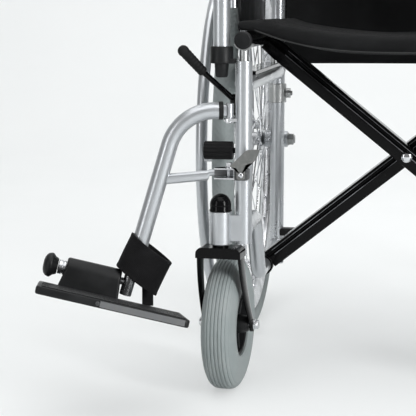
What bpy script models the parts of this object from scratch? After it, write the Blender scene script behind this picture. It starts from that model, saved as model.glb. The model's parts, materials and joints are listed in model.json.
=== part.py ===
"""Folding steel wheelchair with both swing-away legrests turned outwards.

Lengths are in metres, +Z is up and the chair faces -Y. One side of the chair is drawn with +X
pointing outboard and Y = 0 at the front post. The left side uses those meshes as they are, and the
right side shows them through a mirroring empty. The origin is on the floor, under the middle.
"""

import math

import bmesh
import bpy
from mathutils import Matrix, Vector

# Frame
TUBE_DIA = 0.0222
FRAME_HALF_WIDTH = 0.2075
POST_SPACING = 0.393
POST_TOP_Z = 0.445
POST_FOOT_Z = 0.207
CANE_FOOT_Z = 0.107
UPPER_RAIL_Z = 0.4147
FRONT_RAIL_Z = 0.226
LOWER_RAIL_Z = 0.137
RAIL_DROP_RUN = 0.054
RAIL_DROP_SETBACK = 0.233
RAIL_BEND_RADIUS = 0.024
CANE_BEND_Z = 0.600
CANE_LEAN_DEG = 7.0
HANDLE_Z = 0.900
HANDLE_LENGTH = 0.148
HANDLE_BEND_RADIUS = 0.040
COLLAR_Z = 0.380
COLLAR_DIA = 0.0275
COLLAR_HEIGHT = 0.030

# Seat rails, X-brace and fabric
SEAT_RAIL_Z = 0.472
SEAT_RAIL_FRONT_Y = -0.008
SEAT_RAIL_SETBACK = 0.027
BRACE_SETBACK = 0.1785
BRACE_BAR_WIDTH = 0.0264
BRACE_BAR_DEPTH = 0.034
BRACE_NECK_LENGTH = 0.030
BRACE_SLEEVE_LENGTH = 0.036
BRACE_SLEEVE_WALL = 0.0032
BRACE_BOLT_DIA = 0.008
BRACE_BOLT_HEAD_DIA = 0.019
BRACE_BOLT_HEAD_HEIGHT = 0.006
SEAT_FRONT_Y = -0.002
SEAT_SETBACK = 0.035
BACK_BOTTOM_Z = 0.472
BACK_TOP_Z = 0.870
BACK_SAG = 0.024

# Rear wheels
REAR_WHEEL_DIA = 0.610
AXLE_SETBACK = 0.019
TYRE_OFFSET = 0.0462
TYRE_WIDTH = 0.0314
TYRE_HEIGHT = 0.030
RIM_WIDTH = 0.024
RIM_HEIGHT = 0.020
SPOKES = 36
SPOKE_DIA = 0.0022
HUB_WIDTH = 0.046
HUB_DIA = 0.026
HUB_FLANGE_DIA = 0.046
HUB_FLANGE_WIDTH = 0.0034
AXLE_DIA = 0.0127
AXLE_SLEEVE_DIA = 0.026
AXLE_SLEEVE_LENGTH = 0.030
HAND_RIM_OFFSET = 0.0356
HAND_RIM_DIA = 0.518
HAND_RIM_TUBE_DIA = 0.0166
HAND_RIM_TABS = 6

# Casters
CASTER_OFFSET = 0.0292
CASTER_Y = -0.0074
CASTER_DIA = 0.178
CASTER_WIDTH = 0.045
CASTER_CORE_DIA = 0.087
CASTER_CORE_WIDTH = 0.034
CASTER_HUB_DIA = 0.026
CASTER_RIBS = 6
TREAD_GROOVE = 0.002
CASTER_TRAIL = 0.048
CASTER_TURN_DEG = 4.6
CASTER_HOUSING_DIA = 0.030
CASTER_HOUSING_FOOT_Z = 0.206
CASTER_HOUSING_TOP_Z = 0.250
CASTER_CAP_HEIGHT = 0.024
FORK_CROWN_TOP_Z = 0.203
FORK_CROWN_THICKNESS = 0.014
FORK_CROWN_WIDTH = 0.063
FORK_AXLE_WIDTH = 0.070
FORK_LEG_THICKNESS = 0.0055
FORK_CROWN_DEPTH = 0.034
FORK_LEG_DEPTH = 0.020
FORK_SHOULDER = 0.020
FORK_STEM_DIA = 0.012
CASTER_AXLE_DIA = 0.008
CASTER_NUT_DIA = 0.015
CASTER_NUT_HEIGHT = 0.007

# Armrests
ARM_OFFSET = 0.0292
ARM_TUBE_DIA = 0.0222
ARM_TOP_Z = 0.700
ARM_SETBACK = 0.041
ARM_BEND_RADIUS = 0.040
ARM_FRONT_FOOT_Z = 0.446
ARM_REAR_FOOT_Z = 0.634
ARM_SOCKET_DIA = 0.030
ARM_SOCKET_TOP_Z = 0.464
ARM_SOCKET_FOOT_Z = 0.442
ARM_SOCKET_STUB_Z = 0.424
ARM_SOCKET_STUB_DIA = 0.019
ARM_STAY_DIA = 0.013
ARM_STAY_Y = 0.070
ARM_STAY_FOOT_Z = 0.513
PANEL_THICKNESS = 0.005
PANEL_FRONT_Y = 0.062
PANEL_SETBACK = 0.018
PANEL_FOOT_Z = 0.484
PANEL_CORNER = 0.030
PAD_LENGTH = 0.290
PAD_WIDTH = 0.050
PAD_HEIGHT = 0.027
PAD_FOOT_INSET = 0.004
PAD_TOP_INSET = 0.006

# Brakes
BRAKE_PLATE_THICKNESS = 0.004
BRAKE_PIVOT_Y = 0.046
BRAKE_PIVOT_Z = 0.377
SHOE_PIVOT_Y = 0.066
SHOE_PIVOT_Z = 0.366
SHOE_Y = 0.084
SHOE_Z = 0.320
SHOE_DIA = 0.025
SHOE_LENGTH = 0.040
SHOE_RIBS = 10
BRAKE_PIN_DIA = 0.008
BRAKE_BAR_WIDTH = 0.012
BRAKE_BAR_THICKNESS = 0.005
BRAKE_GRIP_DIA = 0.0150
BRAKE_GRIP_LENGTH = 0.048
LEVER_KNEE = (0.0015, -0.0120, 0.0175)
LEVER_WRIST = (0.0349, -0.0460, 0.0536)
LEVER_GRIP_AIM = (0.0232, -0.0200, 0.0285)

# Legrests, as they stand when they are swung in and point forwards
HANGER_OFFSET = 0.0188
HANGER_TUBE_START = 0.0088
HINGE_EYE_DIA = 0.011
HINGE_EYE_HEIGHT = 0.019
HINGE_PIN_DIA = 0.006
HANGER_SWING_DEG = 77.0
HANGER_TOP_Z = 0.381
HANGER_BEND_RADIUS = 0.062
HANGER_SLOPE = 0.300
HANGER_BEND_REACH = 0.0650
HANGER_FOOT_Z = 0.190
HANGER_STRUT_Z = 0.300
HANGER_STRUT_HEIGHT = 0.010
EXTENSION_DIA = 0.016
EXTENSION_FOOT_Z = 0.139
PLATE_HINGE_Z = 0.155
PLATE_TOE_UP_DEG = 14.0
PLATE_INNER_UP_DEG = 9.5
PLATE_WIDTH = 0.150
PLATE_OUTER_MARGIN = 0.012
PLATE_HEEL = 0.077
PLATE_TOE = 0.115
PLATE_THICKNESS = 0.010
PLATE_BELOW_HINGE = 0.024
PLATE_RIBS = 7
BARREL_START = 0.0115
BARREL_LENGTH = 0.0730
BARREL_DIA = 0.030
SPIGOT_DIA = 0.010
SPIGOT_COLLAR_DIA = 0.0190
SPIGOT_COLLAR_LENGTH = 0.010
KNOB_DIA = 0.032
KNOB_LENGTH = 0.019
LOOP_DEPTH = 0.042
LOOP_REACH = 0.063
LOOP_HEIGHT = 0.048
LOOP_THICKNESS = 0.0028
LOOP_MID_Z = 0.1895

# Brackets and small parts
HOUSING_ROOF = 0.005
GUSSET_MARGIN = 0.005
CUT_MARGIN = 0.010
HINGE_EYE_ROOF = 0.003
LUG_THICKNESS = 0.0042
LUG_MARGIN = 0.0020
CHANNEL_THICKNESS = 0.002
CHANNEL_REACH = 0.0177
CHANNEL_FRONT_Y = -0.0175
LATCH_BLOCK_WIDTH = 0.018
LATCH_BLOCK_PROUD = 0.014
LATCH_PLATE = 0.003
LATCH_OUTLINE = (
    (0.0055, -0.0055), (0.0055, 0.0098), (0.0100, 0.0095), (0.0147, 0.0115), (-0.0078, 0.0330),
    (-0.0249, 0.0335), (-0.0215, 0.0245), (-0.0167, 0.0170), (-0.0055, 0.0135), (-0.0055, -0.0055),
)
LATCH_PIN_DIA = 0.006
LATCH_HEAD_DIA = 0.010
LATCH_HEAD_HEIGHT = 0.0025
SADDLE_WALL = 0.0018
SADDLE_LENGTH = 0.016
SADDLE_DROP = 0.004
SADDLE_STEM_DIA = 0.012
REAR_SADDLE_SETBACK = 0.048
COLLAR_BOLT_DIA = 0.010
COLLAR_BOLT_REACH = 0.012
FOOT_BLOCK_REACH = 0.022
FOOT_BLOCK_DEPTH = 0.020
FOOT_BLOCK_HEIGHT = 0.012
FOOT_BLOCK_Z = 0.152
SOCKET_FLOOR = 0.008
REAR_SOCKET_DEPTH = 0.018
LOBE_HEIGHT = 0.006
PLUG_DIA = 0.0232
PLUG_HEIGHT = 0.005
GRIP_LENGTH = 0.106
GRIP_WALL = 0.003
GRIP_RIBS = 4
HUB_FLANGE_INSET = 0.0045
SPOKE_CROSS_DEG = 62.0
TAB_WIDTH = 0.016
TAB_THICKNESS = 0.003
TAB_SINK = 0.0012
AXLE_NUT_DIA = 0.021
AXLE_NUT_HEIGHT = 0.011
AXLE_HEAD_DIA = 0.018
AXLE_HEAD_HEIGHT = 0.004
FORK_WASHER_DIA = 0.022
CORE_WEB = 0.010
CORE_RIM_WALL = 0.005
CORE_RIB = 0.004
GROOVE_DEPTH = 0.0015
GROOVE_HEIGHT = 0.008
BAR_THICKNESS = 0.005
BRACKET_FRONT = 0.013
BRACKET_BELOW = 0.011
BRACKET_HEEL = 0.008
BRACKET_REAR = 0.026
BRAKE_STEM_DIA = 0.0075
STRUT_WIDTH = 0.010
EXTENSION_INSERT = 0.038
PLATE_CORNER = 0.014
PLATE_RIDGE = 0.0012
LOOP_TILT_DEG = 26.0
BRACE_EDGE = 0.003
BRACE_GROOVE_DEPTH = 0.0025
BRACE_GROOVE_WIDTH = 0.005
BRACE_GROOVE_RISE = 0.003
SEAT_THICKNESS = 0.014
SEAT_TOP_SAG = 0.0175
SEAT_BOTTOM_SAG = 0.030
BACK_THICKNESS = 0.006

# Clearances
SEAT_GAP = 0.0003
RUNNING_GAP = 0.0006
WHEEL_SIDE_GAP = 0.0008

# Facets
TUBE_SIDES = 12
SMALL_SIDES = 8
HAND_RIM_SIDES = 6
SPOKE_SIDES = 3
WHEEL_STEPS = 32
CASTER_STEPS = 20
BEND_STEPS = 4
CAP_STEPS = 3
LEG_END_STEPS = 5
BARREL_STEPS = 6
LUG_STEPS = 3
LOOP_STEPS = 20
SLING_STEPS = 6

# Worked out from the sizes above
TUBE_R = TUBE_DIA / 2
TYRE_PLANE_X = FRAME_HALF_WIDTH + TYRE_OFFSET
HAND_RIM_PLANE_X = TYRE_PLANE_X + HAND_RIM_OFFSET
CASTER_X = FRAME_HALF_WIDTH + CASTER_OFFSET
ARM_X = FRAME_HALF_WIDTH + ARM_OFFSET
HANGER_PIVOT_X = FRAME_HALF_WIDTH + HANGER_OFFSET
CHANNEL_OUTER_X = HANGER_PIVOT_X + CHANNEL_REACH
BRACE_MID_Y = POST_SPACING - BRACE_SETBACK
RAIL_DROP_END_Y = POST_SPACING - RAIL_DROP_SETBACK
RAIL_DROP_START_Y = RAIL_DROP_END_Y - RAIL_DROP_RUN
SEAT_RAIL_BACK_Y = POST_SPACING - SEAT_RAIL_SETBACK
SEAT_BACK_Y = POST_SPACING - SEAT_SETBACK
REAR_SADDLE_Y = POST_SPACING - REAR_SADDLE_SETBACK
ARM_BACK_Y = POST_SPACING - ARM_SETBACK
PANEL_BACK_Y = ARM_BACK_Y - PANEL_SETBACK
WHEEL_R = REAR_WHEEL_DIA / 2
AXLE_Y = POST_SPACING + AXLE_SETBACK
AXLE_R = AXLE_DIA / 2
RIM_SEAT_R = WHEEL_R - TYRE_HEIGHT
HUB_BORE_R = AXLE_R + RUNNING_GAP
BRACE_PIVOT_Z = (LOWER_RAIL_Z + SEAT_RAIL_Z) / 2
BRACE_SLEEVE_BORE_R = TUBE_R + RUNNING_GAP
BRACE_SLEEVE_R = BRACE_SLEEVE_BORE_R + BRACE_SLEEVE_WALL
CANE_LEAN = math.radians(CANE_LEAN_DEG)
CANE_TOP_Y = POST_SPACING + (HANDLE_Z - CANE_BEND_Z) * math.tan(CANE_LEAN)
FRAME_OUTER_X = FRAME_HALF_WIDTH + TUBE_R
HAND_RIM_R = HAND_RIM_DIA / 2
CASTER_R = CASTER_DIA / 2
PANEL_OUTER_X = ARM_X - ARM_TUBE_DIA / 2 - SEAT_GAP
PANEL_TOP_Z = ARM_TOP_Z + ARM_TUBE_DIA / 4
HINGE_PIN_R = HINGE_PIN_DIA / 2
LUG_R = HINGE_EYE_DIA / 2 + LUG_MARGIN
KNOB_BACK_Y = BARREL_START + BARREL_LENGTH + SEAT_GAP + SPIGOT_COLLAR_LENGTH + SEAT_GAP
LATCH_FACE_Y = -TUBE_R - LATCH_BLOCK_PROUD
LATCH_X = FRAME_HALF_WIDTH
LATCH_Z = HANGER_STRUT_Z
CHANNEL_HALF = HANGER_STRUT_HEIGHT / 2 + SEAT_GAP
BRAKE_BAR_X = FRAME_OUTER_X + SEAT_GAP + BRAKE_PLATE_THICKNESS + RUNNING_GAP
SHOE_INNER_X = TYRE_PLANE_X - SHOE_LENGTH / 2
HUB_FLANGE_X = HUB_WIDTH / 2 - HUB_FLANGE_INSET


# Materials

def new_material(name, colour, roughness, metallic=0.0):
    """A Principled material of one colour."""
    made = bpy.data.materials.new(name)
    made.use_nodes = True
    shader = made.node_tree.nodes["Principled BSDF"]
    shader.inputs["Base Color"].default_value = (*colour, 1.0)
    shader.inputs["Roughness"].default_value = roughness
    shader.inputs["Metallic"].default_value = metallic
    return made


# Shape helpers: each adds closed bodies to a bmesh, or makes one bmesh out of several

def circle_points(radius, sides, turn=0.0):
    """Points of a regular polygon drawn inside the circle, as (x, y)."""
    angles = [turn + 2 * math.pi * i / sides for i in range(sides)]
    return [(radius * math.cos(a), radius * math.sin(a)) for a in angles]


def clear_bore(radius, gap, sides):
    """Radius of a faceted bore whose flats stand clear of a shaft of this radius."""
    return (radius + gap) / math.cos(math.pi / sides)


def add_loft(bm, rings, closed=False):
    """Bridges rings of equally many points. An open loft gets a cap at each end."""
    loops = [[bm.verts.new(point) for point in ring] for ring in rings]
    count = len(loops[0])
    pairs = list(zip(loops, loops[1:] + loops[:1])) if closed else list(zip(loops, loops[1:]))
    faces = []
    for near, far in pairs:
        for i in range(count):
            j = (i + 1) % count
            faces.append(bm.faces.new((near[i], near[j], far[j], far[i])))
    if not closed:
        faces.append(bm.faces.new(loops[0][::-1]))
        faces.append(bm.faces.new(loops[-1]))
    return faces


def add_tube(bm, path, radius, sides=TUBE_SIDES):
    """A round bar along a path of points."""
    path = [Vector(point) for point in path]
    steps = [(b - a).normalized() for a, b in zip(path, path[1:])]
    tangents = [steps[0]]
    tangents += [(a + b).normalized() for a, b in zip(steps, steps[1:])]
    tangents.append(steps[-1])
    side = tangents[0].orthogonal().normalized()
    rings = []
    for point, tangent in zip(path, tangents):
        side = (side - tangent * side.dot(tangent)).normalized()
        other = tangent.cross(side)
        rings.append([point + side * x + other * y for x, y in circle_points(radius, sides)])
    add_loft(bm, rings)


def add_rod(bm, start, end, radius, sides=TUBE_SIDES):
    """A straight round bar."""
    add_tube(bm, [start, end], radius, sides)


def add_box(bm, low, high):
    """A box between two corners."""
    x0, y0, z0 = low
    x1, y1, z1 = high
    rings = [[(x0, y0, z), (x1, y0, z), (x1, y1, z), (x0, y1, z)] for z in (z0, z1)]
    add_loft(bm, rings)


def add_plate(bm, outline, low, high, place):
    """An outline (a, b) given a thickness from low to high, with place(height, a, b) giving each point."""
    add_loft(bm, [[place(height, a, b) for a, b in outline] for height in (low, high)])


def add_turned(bm, profile, steps, place):
    """A profile of (distance along the axis, radius) turned round the axis, with capped ends."""
    rings = []
    for along, radius in profile:
        rings.append([place(along, x, y) for x, y in circle_points(radius, steps)])
    add_loft(bm, rings)


def add_hoop(bm, section, steps):
    """A closed section of (x, radius) turned round the X axis.

    The flats lie at the section's radii, and one flat is at the very bottom.
    """
    rings = []
    corner = 1 / math.cos(math.pi / steps)
    for i in range(steps):
        angle = 2 * math.pi * (i + 0.5) / steps
        y = corner * math.sin(angle)
        z = -corner * math.cos(angle)
        rings.append([(x, r * y, r * z) for x, r in section])
    add_loft(bm, rings, closed=True)


def along_x(along, a, b):
    """Puts an outline (a, b) in the YZ plane, with the axis along X."""
    return along, a, b


def along_y(along, a, b):
    """Puts an outline (a, b) in the XZ plane, with the axis along Y."""
    return a, along, b


def along_z(along, a, b):
    """Puts an outline (a, b) in the XY plane, with the axis along Z."""
    return a, b, along


def rounded_path(corners, radius, steps=BEND_STEPS):
    """The corner points joined by straight runs, each inner corner replaced by an arc of this radius."""
    corners = [Vector(corner) for corner in corners]
    path = [corners[0]]
    for before, corner, after in zip(corners, corners[1:], corners[2:]):
        back = (before - corner).normalized()
        ahead = (after - corner).normalized()
        half = back.angle(ahead) / 2
        centre = corner + (back + ahead).normalized() * radius / math.sin(half)
        start = corner + back * radius / math.tan(half) - centre
        end = corner + ahead * radius / math.tan(half) - centre
        turn = math.pi - 2 * half
        for i in range(steps + 1):
            share = i / steps
            weight = math.sin(turn)
            arm = start * math.sin((1 - share) * turn) / weight + end * math.sin(share * turn) / weight
            path.append(centre + arm)
    path.append(corners[-1])
    return path


def rounded_outline(low, high, radius, steps=3):
    """A rectangle (a, b) with round corners, anticlockwise."""
    centres = [(high[0] - radius, high[1] - radius), (low[0] + radius, high[1] - radius)]
    centres += [(low[0] + radius, low[1] + radius), (high[0] - radius, low[1] + radius)]
    outline = []
    for quarter, (a, b) in enumerate(centres):
        for i in range(steps + 1):
            angle = math.pi / 2 * (quarter + i / steps)
            outline.append((a + radius * math.cos(angle), b + radius * math.sin(angle)))
    return outline


def shape(adder, *arguments, **options):
    """A new bmesh that holds what one adder makes."""
    bm = bmesh.new()
    adder(bm, *arguments, **options)
    return bm


def mesh_of(bm, name):
    """A mesh with its faces pointing out, made from a bmesh, which is freed."""
    bmesh.ops.recalc_face_normals(bm, faces=bm.faces[:])
    mesh = bpy.data.meshes.new(name)
    bm.to_mesh(mesh)
    bm.free()
    return mesh


def combined(operation, first, others):
    """One bmesh from a Boolean of the first with each of the others in turn."""
    helpers = [bpy.data.objects.new("helper", mesh_of(bm, "helper")) for bm in (first, *others)]
    for helper in helpers:
        helper.hide_render = True
        helper.display_type = "WIRE"
        bpy.context.scene.collection.objects.link(helper)
    for tool in helpers[1:]:
        modifier = helpers[0].modifiers.new("combine", "BOOLEAN")
        modifier.operation = operation
        modifier.object = tool
    graph = bpy.context.evaluated_depsgraph_get()
    mesh = bpy.data.meshes.new_from_object(helpers[0].evaluated_get(graph))
    result = bmesh.new()
    result.from_mesh(mesh)
    bpy.data.meshes.remove(mesh)
    for helper in helpers:
        used = helper.data
        bpy.data.objects.remove(helper)
        bpy.data.meshes.remove(used)
    return result


def fused(first, *others):
    """The shapes welded into one."""
    return combined("UNION", first, others)


def cut(first, *others):
    """The first shape with the others taken away."""
    return combined("DIFFERENCE", first, others)


def moved(bm, matrix):
    """The same shape, placed by a matrix."""
    bmesh.ops.transform(bm, matrix=matrix, verts=bm.verts[:])
    return bm


# Side frame

def side_frame():
    """Posts, rails, back cane with its push handle, and every bracket welded to them."""
    x = FRAME_HALF_WIDTH
    post = shape(add_rod, (x, 0, POST_FOOT_Z), (x, 0, POST_TOP_Z), TUBE_R)
    cane_corners = [(x, POST_SPACING, CANE_FOOT_Z), (x, POST_SPACING, CANE_BEND_Z)]
    cane_corners += [(x, CANE_TOP_Y, HANDLE_Z), (x, CANE_TOP_Y + HANDLE_LENGTH, HANDLE_Z)]
    cane = shape(add_tube, rounded_path(cane_corners, HANDLE_BEND_RADIUS), TUBE_R)
    upper = shape(add_rod, (x, 0, UPPER_RAIL_Z), (x, POST_SPACING, UPPER_RAIL_Z), TUBE_R)
    rail_corners = [(x, 0, FRONT_RAIL_Z), (x, RAIL_DROP_START_Y, FRONT_RAIL_Z)]
    rail_corners += [(x, RAIL_DROP_END_Y, LOWER_RAIL_Z), (x, POST_SPACING, LOWER_RAIL_Z)]
    lower = shape(add_tube, rounded_path(rail_corners, RAIL_BEND_RADIUS), TUBE_R)
    welded = [cane, upper, lower, *axle_sleeve(), *caster_housing(), *hanger_lugs()]
    welded += [*latch_bracket(), *rail_saddles(), *cane_fittings(), *rear_arm_socket()]
    return cut(fused(post, *welded), axle_bore(), stem_bore(), rear_socket_bore())


def axle_sleeve():
    """The tube behind the rear post that holds the axle."""
    inner = FRAME_HALF_WIDTH - AXLE_SLEEVE_LENGTH / 2
    outer = TYRE_PLANE_X - HUB_WIDTH / 2 - WHEEL_SIDE_GAP
    return [shape(add_rod, (inner, AXLE_Y, WHEEL_R), (outer, AXLE_Y, WHEEL_R), AXLE_SLEEVE_DIA / 2)]


def axle_bore():
    """The hole for the axle."""
    start = (0, AXLE_Y, WHEEL_R)
    end = (2 * FRAME_HALF_WIDTH, AXLE_Y, WHEEL_R)
    return shape(add_rod, start, end, clear_bore(AXLE_R, SEAT_GAP, TUBE_SIDES))


def caster_housing():
    """The upright caster bearing, and the gusset that holds it to the front post."""
    foot = (CASTER_X, CASTER_Y, CASTER_HOUSING_FOOT_Z)
    top = (CASTER_X, CASTER_Y, CASTER_HOUSING_TOP_Z)
    low = (FRAME_HALF_WIDTH, CASTER_Y - GUSSET_MARGIN, CASTER_HOUSING_FOOT_Z + GUSSET_MARGIN)
    high = (CASTER_X, CASTER_Y + GUSSET_MARGIN, CASTER_HOUSING_TOP_Z - GUSSET_MARGIN)
    return [shape(add_rod, foot, top, CASTER_HOUSING_DIA / 2), shape(add_box, low, high)]


def stem_bore():
    """The blind hole for the fork's stem, open at the foot of the housing."""
    start = (CASTER_X, CASTER_Y, CASTER_HOUSING_FOOT_Z - CUT_MARGIN)
    end = (CASTER_X, CASTER_Y, CASTER_HOUSING_TOP_Z - HOUSING_ROOF)
    return shape(add_rod, start, end, clear_bore(FORK_STEM_DIA / 2, RUNNING_GAP, TUBE_SIDES))


def lug_outline(quarters, *front_corners):
    """Outline of a plate from the post, round the legrest's pivot by quarter turns, then through the corners given."""
    outline = [(FRAME_HALF_WIDTH, LUG_R)]
    for i in range(quarters * LUG_STEPS + 1):
        angle = math.pi / 2 * (1 - i / LUG_STEPS)
        outline.append((HANGER_PIVOT_X + LUG_R * math.cos(angle), LUG_R * math.sin(angle)))
    return [*outline, *front_corners][::-1]


def hanger_lugs():
    """What the legrest hangs on: a lug with an upright pin, and an open channel that holds the lower pin."""
    eye_foot = HANGER_TOP_Z - HINGE_EYE_HEIGHT / 2
    top = eye_foot - SEAT_GAP
    outline = lug_outline(2, (FRAME_HALF_WIDTH, -LUG_R))
    made = [shape(add_plate, outline, top - LUG_THICKNESS, top, along_z)]
    pin_top = eye_foot + HINGE_EYE_HEIGHT - HINGE_EYE_ROOF - SEAT_GAP
    made.append(hinge_pin(top - LUG_THICKNESS / 2, pin_top))
    corners = [(CHANNEL_OUTER_X, -LUG_R / 2), (CHANNEL_OUTER_X, CHANNEL_FRONT_Y)]
    corners.append((FRAME_HALF_WIDTH, CHANNEL_FRONT_Y))
    for low in (HANGER_STRUT_Z - CHANNEL_HALF - CHANNEL_THICKNESS, HANGER_STRUT_Z + CHANNEL_HALF):
        made.append(shape(add_plate, lug_outline(1, *corners), low, low + CHANNEL_THICKNESS, along_z))
    half = CHANNEL_HALF + CHANNEL_THICKNESS / 2
    made.append(hinge_pin(HANGER_STRUT_Z - half, HANGER_STRUT_Z + half))
    return made


def hinge_pin(low, high):
    """An upright pin on the legrest's pivot."""
    return shape(add_rod, (HANGER_PIVOT_X, 0, low), (HANGER_PIVOT_X, 0, high), HINGE_PIN_R, SMALL_SIDES)


def latch_bracket():
    """A block on the face of the post, with the headed pin that the release lever turns on."""
    inner = FRAME_HALF_WIDTH - LATCH_BLOCK_WIDTH / 2
    outer = FRAME_HALF_WIDTH + LATCH_BLOCK_WIDTH / 2
    half = CHANNEL_HALF + CHANNEL_THICKNESS
    block = shape(add_box, (inner, LATCH_FACE_Y, LATCH_Z - half), (outer, 0, LATCH_Z + half))
    head_y = LATCH_FACE_Y - LATCH_PLATE - 2 * SEAT_GAP
    pin = shape(add_rod, (LATCH_X, 0, LATCH_Z), (LATCH_X, head_y, LATCH_Z), LATCH_PIN_DIA / 2, SMALL_SIDES)
    head_end = (LATCH_X, head_y - LATCH_HEAD_HEIGHT, LATCH_Z)
    head = shape(add_rod, (LATCH_X, head_y, LATCH_Z), head_end, LATCH_HEAD_DIA / 2, SMALL_SIDES)
    return [block, pin, head]


def cradle(y, foot_z):
    """A U-shaped saddle for the seat rail, on a short stem."""
    inner = TUBE_R + RUNNING_GAP
    outer = inner + SADDLE_WALL
    floor = SEAT_RAIL_Z - TUBE_R - RUNNING_GAP
    bottom = floor - SADDLE_WALL
    top = SEAT_RAIL_Z - SADDLE_DROP
    outline = [(-outer, bottom), (outer, bottom), (outer, top), (inner, top)]
    outline += [(inner, floor + SADDLE_DROP), (inner - SADDLE_DROP, floor)]
    outline += [(SADDLE_DROP - inner, floor), (-inner, floor + SADDLE_DROP), (-inner, top), (-outer, top)]
    outline = [(FRAME_HALF_WIDTH + a, b) for a, b in outline]
    saddle = shape(add_plate, outline, y - SADDLE_LENGTH / 2, y + SADDLE_LENGTH / 2, along_y)
    start = (FRAME_HALF_WIDTH, y, foot_z)
    stem = shape(add_rod, start, (FRAME_HALF_WIDTH, y, bottom + SADDLE_WALL / 2), SADDLE_STEM_DIA / 2)
    return [saddle, stem]


def rail_saddles():
    """The front saddle on the post and the rear one on the upper rail."""
    return cradle(0, POST_TOP_Z - TUBE_R) + cradle(REAR_SADDLE_Y, UPPER_RAIL_Z)


def cane_fittings():
    """The collar on the rear post, its through bolt, and the block at the foot."""
    x = FRAME_HALF_WIDTH
    half = COLLAR_HEIGHT / 2
    collar = shape(
        add_rod, (x, POST_SPACING, COLLAR_Z - half), (x, POST_SPACING, COLLAR_Z + half), COLLAR_DIA / 2
    )
    bolt_end = x - TUBE_R - COLLAR_BOLT_REACH
    bolt = shape(
        add_rod, (x, POST_SPACING, COLLAR_Z), (bolt_end, POST_SPACING, COLLAR_Z), COLLAR_BOLT_DIA / 2
    )
    low = (x - TUBE_R - FOOT_BLOCK_REACH, POST_SPACING - FOOT_BLOCK_DEPTH / 2, FOOT_BLOCK_Z)
    high = (x, POST_SPACING + FOOT_BLOCK_DEPTH / 2, FOOT_BLOCK_Z + FOOT_BLOCK_HEIGHT)
    return [collar, bolt, shape(add_box, low, high)]


def rear_arm_socket():
    """The socket on the cane that the armrest's rear leg drops into."""
    foot = ARM_REAR_FOOT_Z - SOCKET_FLOOR
    top = ARM_REAR_FOOT_Z + REAR_SOCKET_DEPTH
    tube = shape(add_rod, (ARM_X, ARM_BACK_Y, foot), (ARM_X, ARM_BACK_Y, top), ARM_SOCKET_DIA / 2)
    half = TUBE_R / 2
    arm = [(FRAME_HALF_WIDTH - half, POST_SPACING), (FRAME_HALF_WIDTH + half, POST_SPACING)]
    arm += [(ARM_X + half, ARM_BACK_Y), (ARM_X - half, ARM_BACK_Y)]
    return [tube, shape(add_plate, arm, foot, top, along_z)]


def rear_socket_bore():
    """The hole in the rear socket."""
    start = (ARM_X, ARM_BACK_Y, ARM_REAR_FOOT_Z - SEAT_GAP)
    end = (ARM_X, ARM_BACK_Y, ARM_REAR_FOOT_Z + 2 * REAR_SOCKET_DEPTH)
    return shape(add_rod, start, end, clear_bore(ARM_TUBE_DIA / 2, SEAT_GAP, TUBE_SIDES))


def push_grip():
    """A ribbed plastic grip over the handle's end."""
    start = CANE_TOP_Y + HANDLE_LENGTH - GRIP_LENGTH
    end = CANE_TOP_Y + HANDLE_LENGTH + GRIP_WALL
    bore = clear_bore(TUBE_R, SEAT_GAP, TUBE_SIDES)
    profile = [(start, bore + GRIP_WALL * 1.5)]
    pitch = GRIP_LENGTH / GRIP_RIBS
    for i in range(GRIP_RIBS):
        profile.append((start + (i + 0.3) * pitch, bore + GRIP_WALL * 1.5))
        profile.append((start + (i + 0.7) * pitch, bore + GRIP_WALL))
    profile += [(end - GRIP_WALL / 2, bore + GRIP_WALL), (end, bore)]
    body = shape(add_turned, profile, TUBE_SIDES, along_y)
    hole = shape(add_rod, (0, start - GRIP_WALL, 0), (0, end - GRIP_WALL + SEAT_GAP, 0), bore)
    return moved(cut(body, hole), Matrix.Translation((FRAME_HALF_WIDTH, 0, HANDLE_Z)))


# Rear wheel, drawn round its own hub with the axle along X

def rear_tyre():
    """A pneumatic tyre with a crowned tread."""
    half = TYRE_WIDTH / 2
    foot = RIM_SEAT_R
    section = [(-half * 0.70, foot), (-half, foot + TYRE_HEIGHT * 0.40)]
    section += [(-half * 0.72, foot + TYRE_HEIGHT * 0.86), (0, WHEEL_R)]
    section += [(-x, radius) for x, radius in section[-2::-1]]
    return shape(add_hoop, section, WHEEL_STEPS)


def rear_wheel():
    """Rim, crossed wire spokes and hub."""
    half = RIM_WIDTH / 2
    outer = RIM_SEAT_R - SEAT_GAP
    inner = outer - RIM_HEIGHT
    section = [(-half, outer), (-half * 0.75, inner + RIM_HEIGHT * 0.25), (-half * 0.4, inner)]
    section += [(-x, radius) for x, radius in section[::-1]]
    rim = shape(add_hoop, section, WHEEL_STEPS)
    return fused(rim, hub(), *spokes(inner + RIM_HEIGHT * 0.4))


def hub():
    """The hub shell with its two spoke flanges and the axle bore."""
    half = HUB_WIDTH / 2
    bore = HUB_BORE_R
    shell = HUB_DIA / 2
    flange = HUB_FLANGE_DIA / 2
    face = HUB_FLANGE_X + HUB_FLANGE_WIDTH / 2
    back = HUB_FLANGE_X - HUB_FLANGE_WIDTH / 2
    section = [(-half, bore), (-half, shell * 0.8), (-face, shell), (-face, flange), (-back, flange)]
    section += [(-back, shell * 0.85)]
    section += [(-x, radius) for x, radius in section[::-1]]
    return shape(add_hoop, section, TUBE_SIDES)


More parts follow.
